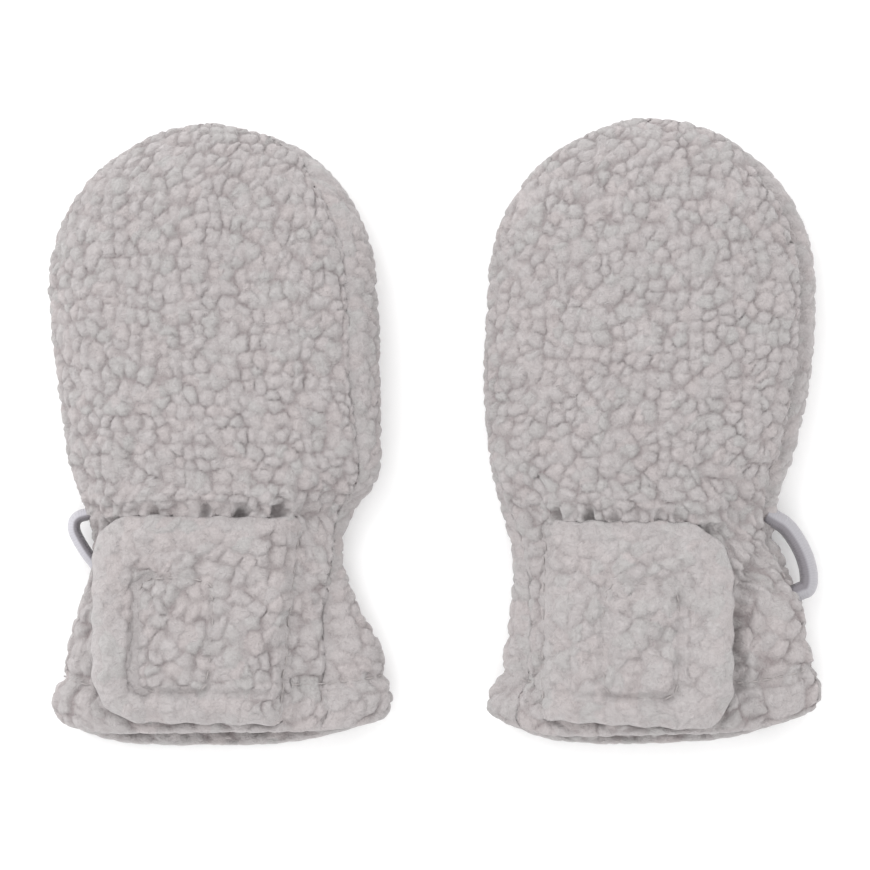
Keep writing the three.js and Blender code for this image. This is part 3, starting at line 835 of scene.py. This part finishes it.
# %% [markdown]
# ## The curly pile
# Curly fleece is knitted with a long pile that is tumbled until it rolls up into small clumps.
# The clumps could be sculpted or scattered as balls, but on real cloth they touch and press each
# other flat, so the gaps between them are soft creases. That is what Voronoi cells look like. A
# Geometry Nodes tree lays cells over the cloth's own width and length, so that none is cut at a
# slant where the cloth turns down. It bends them with noise until no two are alike, rounds each
# to a cushion with smaller tufts on it, and sinks the skin in between. The tree also writes how
# deep each point lies, for the painted shade in the colour, and a number for each curl.

# %% Geometry Nodes tree for the pile
PILE_SIZES = {
    "Curl size": ("Float", 0.0033),
    "Curl height": ("Float", 0.0011),
    "Waviness": ("Float", 0.5),
    "Seed": ("Float", 1.0),
    "Pile side": ("Material", None),
    "Back side": ("Material", None),
}
# How fine each noise is that bends the cells, and how far it reaches.
BENDS = ((0.33, 1.6), (1.1, 1.0), (3.0, 0.4))
CREASE_WIDTH = 0.13


def tree_start(name, sizes):
    """A tree with an input for the geometry and one for each size, and the wires from them."""
    tree = bpy.data.node_groups.new(name, "GeometryNodeTree")
    for key, (kind, value) in {"Geometry": ("Geometry", None), **sizes}.items():
        socket = tree.interface.new_socket(key, in_out="INPUT", socket_type="NodeSocket" + kind)
        if value is not None:
            socket.default_value = value
    tree.interface.new_socket("Geometry", in_out="OUTPUT", socket_type="NodeSocketGeometry")
    nodes, start = Nodes(tree), tree.nodes.new("NodeGroupInput")
    return nodes, {s.name: Wire(nodes, s) for s in start.outputs if s.name}


def tree_end(nodes, result):
    end = nodes.tree.nodes.new("NodeGroupOutput")
    nodes.tree.links.new(result.socket, end.inputs[0])
    return nodes.tree


def read_attribute(nodes, name, kind="FLOAT"):
    return nodes.make("GeometryNodeInputNamedAttribute", {"data_type": kind}, {"Name": name})


def stored(nodes, geometry, name, value):
    settings = {"data_type": "FLOAT", "domain": "POINT"}
    values = {"Geometry": geometry, "Name": name, "Value": value}
    return nodes.make("GeometryNodeStoreNamedAttribute", settings, values)


def dressed(nodes, geometry, material, only=True):
    """Gives a geometry a material, or only the faces that are picked."""
    values = {"Geometry": geometry, "Selection": only, "Material": material}
    return nodes.make("GeometryNodeSetMaterial", {}, values)


def scaled(nodes, vector, amount):
    return nodes.make("ShaderNodeVectorMath", {"operation": "SCALE"}, {0: vector, "Scale": amount})


def wander(nodes, place, scale, reach):
    """A vector that wanders by about reach over the cloth, to bend a pattern with."""
    values = {"Vector": place, "Scale": scale, "Detail": 1.0}
    colour = nodes.make("ShaderNodeTexNoise", {"noise_dimensions": "3D"}, values, "Color")
    return scaled(nodes, nodes.vector("SUBTRACT", colour, (0.5, 0.5, 0.5)), reach * 2.0)


def curly_pile_tree():
    n, given = tree_start("Curly pile", PILE_SIZES)
    near = {"Geometry": given["Geometry"], "Distance": 0.00001}
    made = n.make("GeometryNodeMergeByDistance", {}, near)
    across, along = (read_attribute(n, key) * MM / given["Curl size"] for key in ("weft", "warp"))
    shift = given["Seed"] * 17.3
    place = n.make("ShaderNodeCombineXYZ", {}, {0: across + shift, 1: along + shift * 0.7})
    bent = place
    for scale, reach in BENDS:
        bent = n.vector("ADD", bent, wander(n, place, scale, given["Waviness"] * reach))

    def cells(feature, output=0, **sizes):
        values = {"Vector": bent, "Scale": 1.0, "Randomness": 0.9, **sizes}
        settings = {"voronoi_dimensions": "2D", "feature": feature}
        return n.make("ShaderNodeTexVoronoi", settings, values, output)

    edge = cells("DISTANCE_TO_EDGE") / CREASE_WIDTH
    centre = cells("SMOOTH_F1", Smoothness=0.35)
    tint = cells("F1", "Color")
    tuft = cells("SMOOTH_F1", Scale=2.1, Smoothness=0.6, Randomness=1.0)
    patchy = {"Vector": place, "Scale": 0.55, "Detail": 1.0}
    open_ = n.make("ShaderNodeTexNoise", {"noise_dimensions": "2D"}, patchy)
    crease = math.e ** (-1.0 * edge * edge)
    deep = (open_ * 2.6 - 0.65).at_least(0.1).at_most(1.0)
    low = crease * deep * 0.5 + (centre * centre * 1.5).at_most(0.7) + tuft * 0.3
    made = stored(n, made, "curl", 1.0 - low.at_most(1.2))
    made = stored(n, made, "tint", n.make("ShaderNodeSeparateXYZ", {}, {0: tint}))
    sunk = given["Curl height"] * read_attribute(n, "pile") * (1.0 - read_attribute(n, "curl"))
    offset = scaled(n, n.make("GeometryNodeInputNormal"), -sunk)
    made = n.make("GeometryNodeSetPosition", {}, {"Geometry": made, "Offset": offset})
    made = n.make("GeometryNodeRealizeInstances", {}, {"Geometry": made})
    made = dressed(n, made, given["Pile side"])
    made = dressed(n, made, given["Back side"], read_attribute(n, "back side", "BOOLEAN"))
    return tree_end(n, made)


PILE_TREE = curly_pile_tree()
print("nodes in the pile's tree:", len(PILE_TREE.nodes))

# %% [markdown]
# The tree is used through a modifier, whose inputs are set by their identifiers. The evaluated
# result is then turned into a plain mesh, so nothing is left that another program can't read.

# %% Running a tree on a mesh


def placed(name, data):
    """A new object in the scene."""
    thing = bpy.data.objects.new(name, data)
    bpy.context.collection.objects.link(thing)
    return thing


def smooth(piece):
    for face in piece.data.polygons:
        face.use_smooth = True
    return piece


def grown(name, mesh, tree, sizes):
    """The object that a tree makes from a mesh, as a plain mesh."""
    source = placed(name + "_source", mesh)
    modifier = source.modifiers.new("tree", "NODES")
    modifier.node_group = tree
    sockets = {s.name: s.identifier for s in tree.interface.items_tree if s.in_out == "INPUT"}
    for key, value in sizes.items():
        modifier[sockets[key]] = value
    result = source.evaluated_get(bpy.context.evaluated_depsgraph_get())
    made = bpy.data.meshes.new_from_object(result)
    made.name = name
    bpy.data.objects.remove(source)
    return smooth(placed(name, made))


def triangles(piece):
    return sum(len(face.vertices) - 2 for face in piece.data.polygons)


SIDES = {"Pile side": FLEECE, "Back side": BACK}
FRONT_WIDTH = 96
BACK_WIDTH = 112
INNER_STEP = 3.0
INNER_HEM_STEP = 0.7
INNER_COLUMN = 0.75


def make_panel(name, mitten, front, seed):
    width = FRONT_WIDTH if front else BACK_WIDTH
    faces = []
    for step, hem_step, column in ((FINE, FINE, FINE), (INNER_STEP, INNER_HEM_STEP, INNER_COLUMN)):
        columns = int(width / column)
        y, turn, share = panel_rows(mitten, step, hem_step)
        angles, lengths = even_angles(mitten, front, y, turn, columns)
        faces.append((evenly(columns), share, y, panel_faces(mitten, front, y, turn, angles, lengths)))
    (us, vs, _, (outer, _, outside)), (inner_us, inner_vs, y, (_, inner, inside)) = faces
    values = {key: (outside[key][0], inside[key][1]) for key in outside}
    knit = np.repeat(y[:-1] >= mitten["hem"]["y"] + HEM_DEPTH, len(inner_us) - 1)
    mesh = cloth_mesh(name, outer, inner, (us, vs, inner_us, inner_vs), values, knit)
    sizes = {"Curl size": 0.0032, "Curl height": 0.0011, "Waviness": 0.36, "Seed": seed}
    return grown(name, mesh, PILE_TREE, {**sizes, **SIDES})


panels = {}
for side, mitten in MITTENS.items():
    for part, front in (("front", True), ("back", False)):
        name = f"{side}_{part}_fleece"
        panels[side, part] = make_panel(name, mitten, front, 2.0 + 11 * len(panels))
        print(name, "triangles:", triangles(panels[side, part]))

# %% [markdown]
# ## Closure flaps
# A flap is two layers of fleece sewn right sides together and turned out, so its rim is thick
# and round, with the curls pressed smooth, and the stitches that hold the tape inside draw a
# shallow rectangle in its face. It lies on the cuff, so its height comes from the front panel's
# own height below it.

# %% Sizes and heights of a flap
FLAP_RIM = 4.8
FLAP_MIDDLE = 3
FLAP_GAP = 0.35
FLAP_RIM_FROM = 3.5
FLAP_RIM_TO = 6.5
FLAP_RELAX = 0.8
FLAP_SEWN_ROUND = 3.0
FLAP_FALL = 2.2
FLAP_FALL_REACH = 6
FLAP_ROUND = 3.0
FLAP_SUNK = 2.3
PATCH_THICK = 0.6
PATCH_GAP = 0.3
PATCH_WIDTH = 17.6
PATCH_LENGTH = 26.4
PATCH_ROUND = 3
PATCH_DOWN = 15.2
PATCH_MARGIN = 0.4
FLAP_OVER_PATCHES = 3.2 * PATCH_GAP + 2 * PATCH_THICK
SEWN_ROW = 1.9
SEWN_FALL = 2.5
SEWN_REACH = 9
SEWN_GROOVE = 0.5
PUFF = 0.4
PUFF_AT = 3.4
SETTLED = 0.4


def height_at(mitten, x, y, relax):
    row = np.array(y, float)
    for _ in range(6):
        left, right = outline(mitten, "left", row), outline(mitten, "right", row)
        across = np.clip((2 * x - left - right) / (right - left), -1, 1)
        row = y - mouth_curve(mitten, np.arccos(across), row)
    seam = loft("seam", row)
    return seam + (loft("crest", row) - seam) * np.sqrt(1 - np.abs(relax * across) ** TOP_FULLNESS)


def flap_frame(mitten):
    flap = mitten["flap"]
    corners = [np.array(flap[k]) for k in ("free_top", "sewn_top", "free_bottom", "sewn_bottom")]
    free_top, sewn_top, free_bottom, sewn_bottom = corners
    width = abs(sewn_top[0] + sewn_bottom[0] - free_top[0] - free_bottom[0]) / 2
    length = abs(free_top[1] + sewn_top[1] - free_bottom[1] - sewn_bottom[1]) / 2

    def place(p, q):
        s, t = (p / width)[..., None], (q / length)[..., None]
        found = mix(mix(free_top, sewn_top, s), mix(free_bottom, sewn_bottom, s), t)
        return found[..., 0], found[..., 1]

    return width, length, place


def inside_of(p, q, width, length, round_top, round_bottom, round_sewn):
    """Distance inwards from the outline of a rectangle with round corners."""
    x, y = p - width / 2, length / 2 - q
    radius = np.where(x < 0, np.where(y > 0, round_top, round_bottom), round_sewn)
    dx, dy = np.abs(x) - width / 2 + radius, np.abs(y) - length / 2 + radius
    corner = np.hypot(np.maximum(dx, 0), np.maximum(dy, 0))
    return radius - np.minimum(np.maximum(dx, dy), 0) - corner


def cut_off(radius, from_edge):
    rest = np.sqrt(np.maximum(0, radius**2 - (radius - from_edge) ** 2))
    return np.where(from_edge >= radius, 0, radius - rest)


def inside_patch(mitten, p, q, margin):
    at = p - mitten["flap"]["patch_from"] + margin, q - PATCH_DOWN + margin
    size = PATCH_WIDTH + 2 * margin, PATCH_LENGTH + 2 * margin
    return inside_of(*at, *size, PATCH_ROUND, PATCH_ROUND, PATCH_ROUND)


def flap_heights(mitten, p, q):
    """x, y and the heights of the underside and the face of a flap, and the pile on it."""
    flap = mitten["flap"]
    width, length, place = flap_frame(mitten)
    edge = inside_of(p, q, width, length, flap["round_top"], flap["round_bottom"], FLAP_SEWN_ROUND)
    edge, to_seam = np.maximum(0, edge), width - p
    x, y = place(p, q)
    loose = 0.28 * (1 - ease(0, 6, edge))
    x, y = x + loose * np.sin(y * 0.9 + 1.3), y + loose * np.sin(x * 0.8 + 0.4)
    base = height_at(mitten, x, y, mix(1, FLAP_RELAX, ease(width, width - 16, p)))
    inwards = ease(FLAP_RIM_FROM, FLAP_RIM_TO, edge)
    caught = 1 - ease(0, 4, to_seam)
    under = base + mix(FLAP_GAP, FLAP_OVER_PATCHES, inwards) - FLAP_SUNK * caught
    line = inside_patch(mitten, p, q, PATCH_MARGIN)
    row = PATCH_DOWN + PATCH_LENGTH + PATCH_MARGIN
    beyond = ease(flap["patch_from"] - 1, flap["patch_from"] + 4, p)
    below = beyond * bell(q - row, 0.7) * ease(width, width - 3, p)
    by_free_edge = 1 - ease(flap["patch_from"] + 0.8, flap["patch_from"] + 4.5, p)
    free_side, other_sides, last_row = flap["stitches"]
    pull = mix(other_sides, free_side, by_free_edge)
    stitched = pull * (bell(line, 0.8) + 0.4 * bell(line, 2.6)) + last_row * below
    sewn = SEWN_FALL * (1 - ease(0, SEWN_REACH, to_seam)) + SEWN_GROOVE * bell(to_seam - SEWN_ROW, 0.9)
    fall = FLAP_FALL * (1 - quarter_round(edge, FLAP_FALL_REACH))
    fall = fall * mix(flap["sewn_fall"], 1, ease(1, SEWN_REACH, to_seam))
    waves = 0.4 * np.sin(x * 0.42 + 0.5) * np.sin(y * 0.31 + 1.1)
    waves += 0.3 * np.sin(x * 0.83 + 0.7 * np.sin(y * 0.5)) * np.sin(y * 0.9 + 1.3 * np.sin(x * 0.37))
    puff = PUFF * bell(edge - PUFF_AT, 1.8)
    thick = mix(FLAP_RIM, FLAP_MIDDLE, inwards)
    over = under + thick - stitched - sewn - fall + waves + puff - SETTLED
    middle, share = (under + over) / 2, mix(EDGE_LEFT, 1, quarter_round(edge, FLAP_ROUND))
    pinned = np.clip(pull, 0, 1) * bell(line, PINNED_REACH)
    pinned = np.maximum(pinned, np.maximum(bell(to_seam - SEWN_ROW, PINNED_REACH), below))
    return x, y, mix(middle, under, share), mix(middle, over, share), edge, line, pinned


print("flap sizes:", [round(float(v), 1) for v in flap_frame(MITTENS["left"])[:2]], "mm")

# %% [markdown]
# The flap's grid is closer at its rim than in its middle, because the rim is round. Its rows get
# shorter where the corners are cut round. The left flap keeps its curls inside the stitches and
# the right one is brushed nearly smooth, so each has its own amount of pile.

# %% Make the flaps
FLAP_SPAN = 52
FLAP_FINE = 0.38
FLAP_INNER_COLUMNS = 22
CLOSER = 0.55


def closer_at_ends(count):
    even = evenly(count)
    return mix(even, (1 - np.cos(math.pi * even)) / 2, CLOSER)


def across_flap(mitten, first, last, us):
    """Distances from the free side, for columns that run from left to right."""
    mirrored = mitten["flap"]["free_top"][0] > mitten["flap"]["sewn_top"][0]
    return mix(first, last, (1 - us if mirrored else us)[None, :])


def flap_faces(mitten, us, vs):
    flap = mitten["flap"]
    width, length, _ = flap_frame(mitten)
    q = ((1 - vs) * length)[:, None] * np.ones((1, len(us)))
    first = np.maximum(cut_off(flap["round_top"], q), cut_off(flap["round_bottom"], length - q))
    last = width - np.maximum(cut_off(FLAP_SEWN_ROUND, q), cut_off(FLAP_SEWN_ROUND, length - q))
    p = across_flap(mitten, first, last, us)
    return flap_heights(mitten, p, q), (p, q)


def make_flap(name, mitten, curl, rim_pile, middle_pile, seed):
    us = vs = closer_at_ends(int(FLAP_SPAN / FLAP_FINE))
    (x, y, _, over, edge, line, pinned), (p, q) = flap_faces(mitten, us, vs)
    centre = mitten["axis"]
    outer = np.stack([centre + x, y, over], -1)
    rough = closer_at_ends(FLAP_INNER_COLUMNS)
    (rx, ry, under, *_), _ = flap_faces(mitten, rough, rough)
    inner = np.stack([centre + rx, ry, under], -1)
    width, length, _ = flap_frame(mitten)
    by_seam = ease(1.0, 4.0, np.minimum(q, length - q)) * ease(width - 14, width - 8, p)
    nap = mix(rim_pile, middle_pile, np.maximum(ease(4, 11, edge), by_seam))
    nap = nap * (1 - 0.5 * pinned) * mix(0.35, 1, ease(0, 1.2, edge))
    none = np.zeros_like(rx)
    values = {"pile": (nap, none), "weft": (p, none), "warp": (q, none)}
    mesh = cloth_mesh(name, outer, inner, (us, vs, rough, rough), values)
    sizes = {"Curl size": curl, "Curl height": 0.0012, "Waviness": 0.38, "Seed": seed}
    return grown(name, mesh, PILE_TREE, {**sizes, **SIDES})


flaps = {
    "left": make_flap("left_flap_fleece", MITTENS["left"], 0.0038, 0.45, 1.0, 61.0),
    "right": make_flap("right_flap_fleece", MITTENS["right"], 0.0037, 0.45, 0.75, 27.0),
}
print("flap triangles:", [triangles(piece) for piece in flaps.values()])

# %% [markdown]
# ## Hook and loop patches
# The two tapes face each other between the flap and the cuff: the loop tape on the cuff, and the
# hook tape on the flap. Each is a thin woven ground. Its hooks or loops are too small and too
# hidden to model one by one, so the material gives them as relief.

# %% Make the patches


def make_patch(name, mitten, level):
    width, _, place = flap_frame(mitten)
    us, vs = evenly(36), evenly(52)
    q = ((1 - vs) * PATCH_LENGTH)[:, None] * np.ones((1, len(us)))
    cut = cut_off(PATCH_ROUND, np.minimum(q, PATCH_LENGTH - q))
    p = across_flap(mitten, cut, PATCH_WIDTH - cut, us) + mitten["flap"]["patch_from"]
    x, y = place(p, q + PATCH_DOWN)
    base = height_at(mitten, x, y, mix(1, FLAP_RELAX, ease(width, width - 16, p)))
    low = base + PATCH_GAP + level * (PATCH_GAP + PATCH_THICK)
    lower = np.stack([mitten["axis"] + x, y, low], -1)
    upper = lower + [0, 0, PATCH_THICK]
    return smooth(placed(name, cloth_mesh(name, upper, lower, (us, vs, us, vs), {})))


patches = {}
for side, mitten in MITTENS.items():
    patches[side, "loop"] = make_patch(f"{side}_loop_tape", mitten, 0)
    patches[side, "hook"] = make_patch(f"{side}_hook_tape", mitten, 1)
print("patches:", len(patches))

# %% [markdown]
# ## Ribbon loops
# A narrow satin ribbon, folded along its middle, is caught in the side seam with both ends.
# A curve with a bevel would give a round or flat band. The folded band is swept by hand instead,
# along a smooth line through a few places, with its crease nearer the mitten and its outer leaf
# wider, as it shows from above. Its length and width go along as attributes for the weave.

# %% Make the ribbons
RIBBON_RISE = 3
RIBBON_THICK = 0.8
RIBBON_LIFT = 0.6
RIBBON_CAUGHT = 2.8


def smooth_line(places, shares):
    """Points and directions on a smooth curve through places."""
    places = np.asarray(places, float)
    run = np.concatenate([[0], np.cumsum(np.linalg.norm(np.diff(places, axis=0), axis=1))])
    at = shares * run[-1]
    columns = ["run", "x", "y"]
    table = np.column_stack([run, places])
    line = np.stack([read(table, columns, k, at) for k in ("x", "y")], -1)
    ahead = np.stack([read(table, columns, k, at + 0.01) for k in ("x", "y")], -1)
    behind = np.stack([read(table, columns, k, at - 0.01) for k in ("x", "y")], -1)
    towards = ahead - behind
    return line, towards / np.linalg.norm(towards, axis=1)[:, None], run[-1]


def make_ribbon(name, mitten):
    ribbon = mitten["ribbon"]
    outwards = np.sign(ribbon["path"][0][0])
    us, vs = evenly(28), evenly(90)
    path = np.array(ribbon["path"])
    ends = [(path[0] - path[1]), (path[-1] - path[-2])]
    first, last = (e / np.linalg.norm(e) * RIBBON_CAUGHT for e in ends)
    path = np.concatenate([[path[0] + first], path, [path[-1] + last]])
    line, towards, length = smooth_line(path, (1 - vs) if outwards > 0 else vs)
    seam = float(loft("seam", WRIST_Y - 8.0)) + RIBBON_LIFT - RIBBON_RISE / 2
    angle = math.pi * (1 - us)[None, :]
    turn = -1 if outwards > 0 else 1

    def face(inset):
        lean = -0.3 * np.sin(angle) ** 2
        sideways = (ribbon["half"] - inset) * (np.cos(angle) + lean)
        rise = (RIBBON_RISE - inset) * np.sin(angle)
        x = line[:, :1] + turn * towards[:, 1:] * sideways
        y = line[:, 1:] - turn * towards[:, :1] * sideways
        return np.stack([mitten["axis"] + x, y, seam + rise * np.ones_like(x)], -1)

    outer, inner = face(0), face(RIBBON_THICK)
    across = np.ones((len(vs), 1)) * (us * math.pi * 2.5)[None, :]
    along = (vs * length)[:, None] * np.ones((1, len(us)))
    values = {"across": (across, across), "along": (along, along)}
    return smooth(placed(name, cloth_mesh(name, outer, inner, (us, vs, us, vs), values)))


ribbons = {side: make_ribbon(f"{side}_ribbon_loop", mitten) for side, mitten in MITTENS.items()}
print("ribbon triangles:", [triangles(piece) for piece in ribbons.values()])

# %% [markdown]
# ## Stitches
# The hem, the flap's sewn end and the tape are held by rows of lockstitch. On the real mittens
# the pile nearly swallows them, and only the dips show. Each row is one path in the bottom of
# its dip. A Geometry Nodes tree sets a small spindle of thread on it at every stitch length, so
# the spacing is even and the whole row is one mesh.

# %% Geometry Nodes tree for a row of stitches
STITCH_SIZES = {
    "Stitch length": ("Float", 0.0031),
    "Thread radius": ("Float", 0.00022),
    "Seed": ("Int", 4),
    "Thread": ("Material", None),
}


def stitch_tree():
    n, given = tree_start("Lockstitch", STITCH_SIZES)
    length, radius = given["Stitch length"], given["Thread radius"]
    path = n.make("GeometryNodeMeshToCurve", {}, {"Mesh": given["Geometry"]})
    places = n.make("GeometryNodeResampleCurve", {"mode": "LENGTH"}, {"Curve": path, "Length": length})
    along = {"Vector": n.make("GeometryNodeInputTangent")}
    turned = n.make("FunctionNodeAlignRotationToVector", {"axis": "X"}, along)
    spindle = n.make("GeometryNodeMeshUVSphere", {}, {"Segments": 8, "Rings": 6, "Radius": 1.0})
    spread = {2: 0.85, 3: 1.1, "Seed": given["Seed"]}
    uneven = n.make("FunctionNodeRandomValue", {"data_type": "FLOAT"}, spread, 1)
    size = n.make("ShaderNodeCombineXYZ", {}, {0: length * 0.42 * uneven, 1: radius, 2: radius})
    each = {"Points": places, "Instance": spindle, "Rotation": turned, "Scale": size}
    rows = n.make("GeometryNodeInstanceOnPoints", {}, each)
    real = n.make("GeometryNodeRealizeInstances", {}, {"Geometry": rows})
    return tree_end(n, dressed(n, real, given["Thread"]))


STITCH_TREE = stitch_tree()
THREAD_SUNK = 0.45


def path_mesh(name, lines):
    points, edges = [], []
    for line in lines:
        edges += [(len(points) + k, len(points) + k + 1) for k in range(len(line) - 1)]
        points += [tuple((p + CENTRING) * MM) for p in line]
    mesh = bpy.data.meshes.new(name)
    mesh.from_pydata(points, edges, [])
    return mesh


def hem_line(mitten, front):
    y = np.array([mitten["hem"]["y"] + HEM_DEPTH])
    turn = np.zeros(1)
    angles, lengths = even_angles(mitten, front, y, turn, 160)
    outer, inner, _ = panel_faces(mitten, front, y, turn, angles, lengths)
    return mix(outer, inner, THREAD_SUNK / HEM_WALL)[0][3:-3]


def flap_line(mitten, p, q):
    x, y, _, over, *_ = flap_heights(mitten, p, q)
    return np.stack([mitten["axis"] + x, y, over - THREAD_SUNK], -1)


def patch_line(mitten):
    """Once round the tape, with round corners."""
    turn = np.linspace(0, 2 * math.pi, 161)
    reach = PATCH_WIDTH / 2 + PATCH_MARGIN, PATCH_LENGTH / 2 + PATCH_MARGIN
    round_ = PATCH_ROUND + PATCH_MARGIN
    spread = [np.clip(1.35 * f(turn), -1, 1) * (r - round_) for f, r in zip((np.cos, np.sin), reach)]
    across = mitten["flap"]["patch_from"] + PATCH_WIDTH / 2 + spread[0] + round_ * np.cos(turn)
    down = PATCH_DOWN + PATCH_LENGTH / 2 + spread[1] + round_ * np.sin(turn)
    return flap_line(mitten, across, down)


def sewn_line(mitten):
    width, length, _ = flap_frame(mitten)
    down = np.linspace(3.0, length - 3.0, 90)
    return flap_line(mitten, np.full(90, width - SEWN_ROW), down)


def make_stitches(name, lines, seed):
    return grown(name, path_mesh(name, lines), STITCH_TREE, {"Seed": seed, "Thread": THREAD})


stitches = {}
for side, mitten in MITTENS.items():
    stitches[side, "front"] = make_stitches(f"{side}_front_stitches", [hem_line(mitten, True)], 4)
    stitches[side, "back"] = make_stitches(f"{side}_back_stitches", [hem_line(mitten, False)], 9)
    rows = [patch_line(mitten), sewn_line(mitten)]
    stitches[side, "flap"] = make_stitches(f"{side}_flap_stitches", rows, 14)
print("stitch triangles:", sum(triangles(piece) for piece in stitches.values()))

# %% [markdown]
# ## What each piece is
# Every piece rides on the one body, and each piece but the stitches stands for its solid, which
# is hidden. The size each panel is cut to is printed. That size is measured on the plain skin,
# before creases and curls: the length of each section times the distance to the next gives the
# cut's area.


def cut_of(mitten, front):
    """Width, length and area of the part of a panel's cut that shows, in metres."""
    y, turn, _ = panel_rows(mitten, 1.5, 1.5)
    angles, lengths = even_angles(mitten, front, y, turn, 40)
    line = skin(mitten, angles[:, 20], y, turn, 0)
    steps = np.linalg.norm(np.diff(line, axis=0), axis=1)
    area = float(np.sum((lengths[1:] + lengths[:-1]) / 2 * steps))
    return lengths.max() * MM, steps.sum() * MM, area * MM * MM


def stands_for(piece, node):
    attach(piece, "root")
    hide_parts(node)


for side, mitten in MITTENS.items():
    for part, front in (("front", True), ("back", False)):
        piece = panels[side, part]
        stands_for(piece, f"{side}_{part}")
        wide, long, area = cut_of(mitten, front)
        print(piece.name, f"cut: {wide / MM:.0f} x {long / MM:.0f} mm, {area * 1e4:.0f} cm2")
    wide, long, _ = flap_frame(mitten)
    stands_for(flaps[side], f"{side}_flap")
    wide * MM
    long * MM
    for layer in ("loop", "hook"):
        stands_for(patches[side, layer], f"{side}_{layer}_patch")
        patches[side, layer].data.materials.append(LOOP_TAPE if layer == "loop" else HOOK_TAPE)
    stands_for(ribbons[side], f"{side}_ribbon")
    ribbons[side].data.materials.append(RIBBONS[side])
    for part in ("front", "back", "flap"):
        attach(stitches[side, part], "root")

# %% [markdown]
# ## Floor, light and camera
# The mittens lie on a white floor under a broad soft light, like any small product that is
# photographed from straight above. The sky gives most of the light, and one large lamp from the
# upper left gives the curls their soft shading. The camera has a long lens, so both mittens are
# seen from above with hardly any perspective.

# %% Floor and light
FLOOR_HALF = 2.0
FLOOR_BELOW = 0.0002
SKY_STRENGTH = 1.28
KEY_PLACE = (-0.9, 0.9, 1.1)
KEY_SIZE = 1.3
KEY_POWER = 11.0


def white_floor():
    n = Finish("White floor")
    return n.shaded({
        "Base Color": n.blend(n.noise(n.place(), 3, 1.0), (0.94, 0.94, 0.94, 1), (0.96, 0.96, 0.96, 1)),
        "Roughness": 0.9,
        "Specular IOR Level": 0.1,
        "Emission Color": (1.0, 1.0, 1.0, 1),
        "Emission Strength": 0.05,
    })


signs = ((-1, -1), (1, -1), (1, 1), (-1, 1))
corners = [(x * FLOOR_HALF, y * FLOOR_HALF, -FLOOR_BELOW) for x, y in signs]
floor_mesh = bpy.data.meshes.new("studio_floor")
floor_mesh.from_pydata(corners, [], [(0, 1, 2, 3)])
floor_mesh.materials.append(white_floor())
floor = placed("studio_floor", floor_mesh)

scene = bpy.context.scene
scene.view_settings.view_transform = "Standard"
sky = bpy.data.worlds.new("Studio sky")
sky.use_nodes = True
background = sky.node_tree.nodes["Background"]
background.inputs["Color"].default_value = (1.0, 1.0, 1.0, 1)
background.inputs["Strength"].default_value = SKY_STRENGTH
scene.world = sky


def soft_lamp(name, place, size, power):
    data = bpy.data.lights.new(name, "AREA")
    data.shape, data.size, data.energy = "SQUARE", size, power
    lamp = placed(name, data)
    lamp.location = place
    lamp.rotation_euler = (-Vector(place)).to_track_quat("-Z", "Y").to_euler()


soft_lamp("Key light", KEY_PLACE, KEY_SIZE, KEY_POWER)
print("lamps:", len(bpy.data.lights))

# %% Camera
VIEW_WIDTH = 0.2088
VIEW_CENTRE = (0.00023, -0.00064)
FOCUS_HEIGHT = 0.008
LENS = 180.0
SENSOR = 36.0

lens = bpy.data.cameras.new("Overhead camera")
lens.lens, lens.sensor_width = LENS, SENSOR
lens.clip_start, lens.clip_end = 0.05, 10
camera = placed("Overhead camera", lens)
camera.location = (*VIEW_CENTRE, FOCUS_HEIGHT + VIEW_WIDTH * LENS / SENSOR)
scene.camera = camera
print("camera height:", round(camera.location.z, 3), "m")
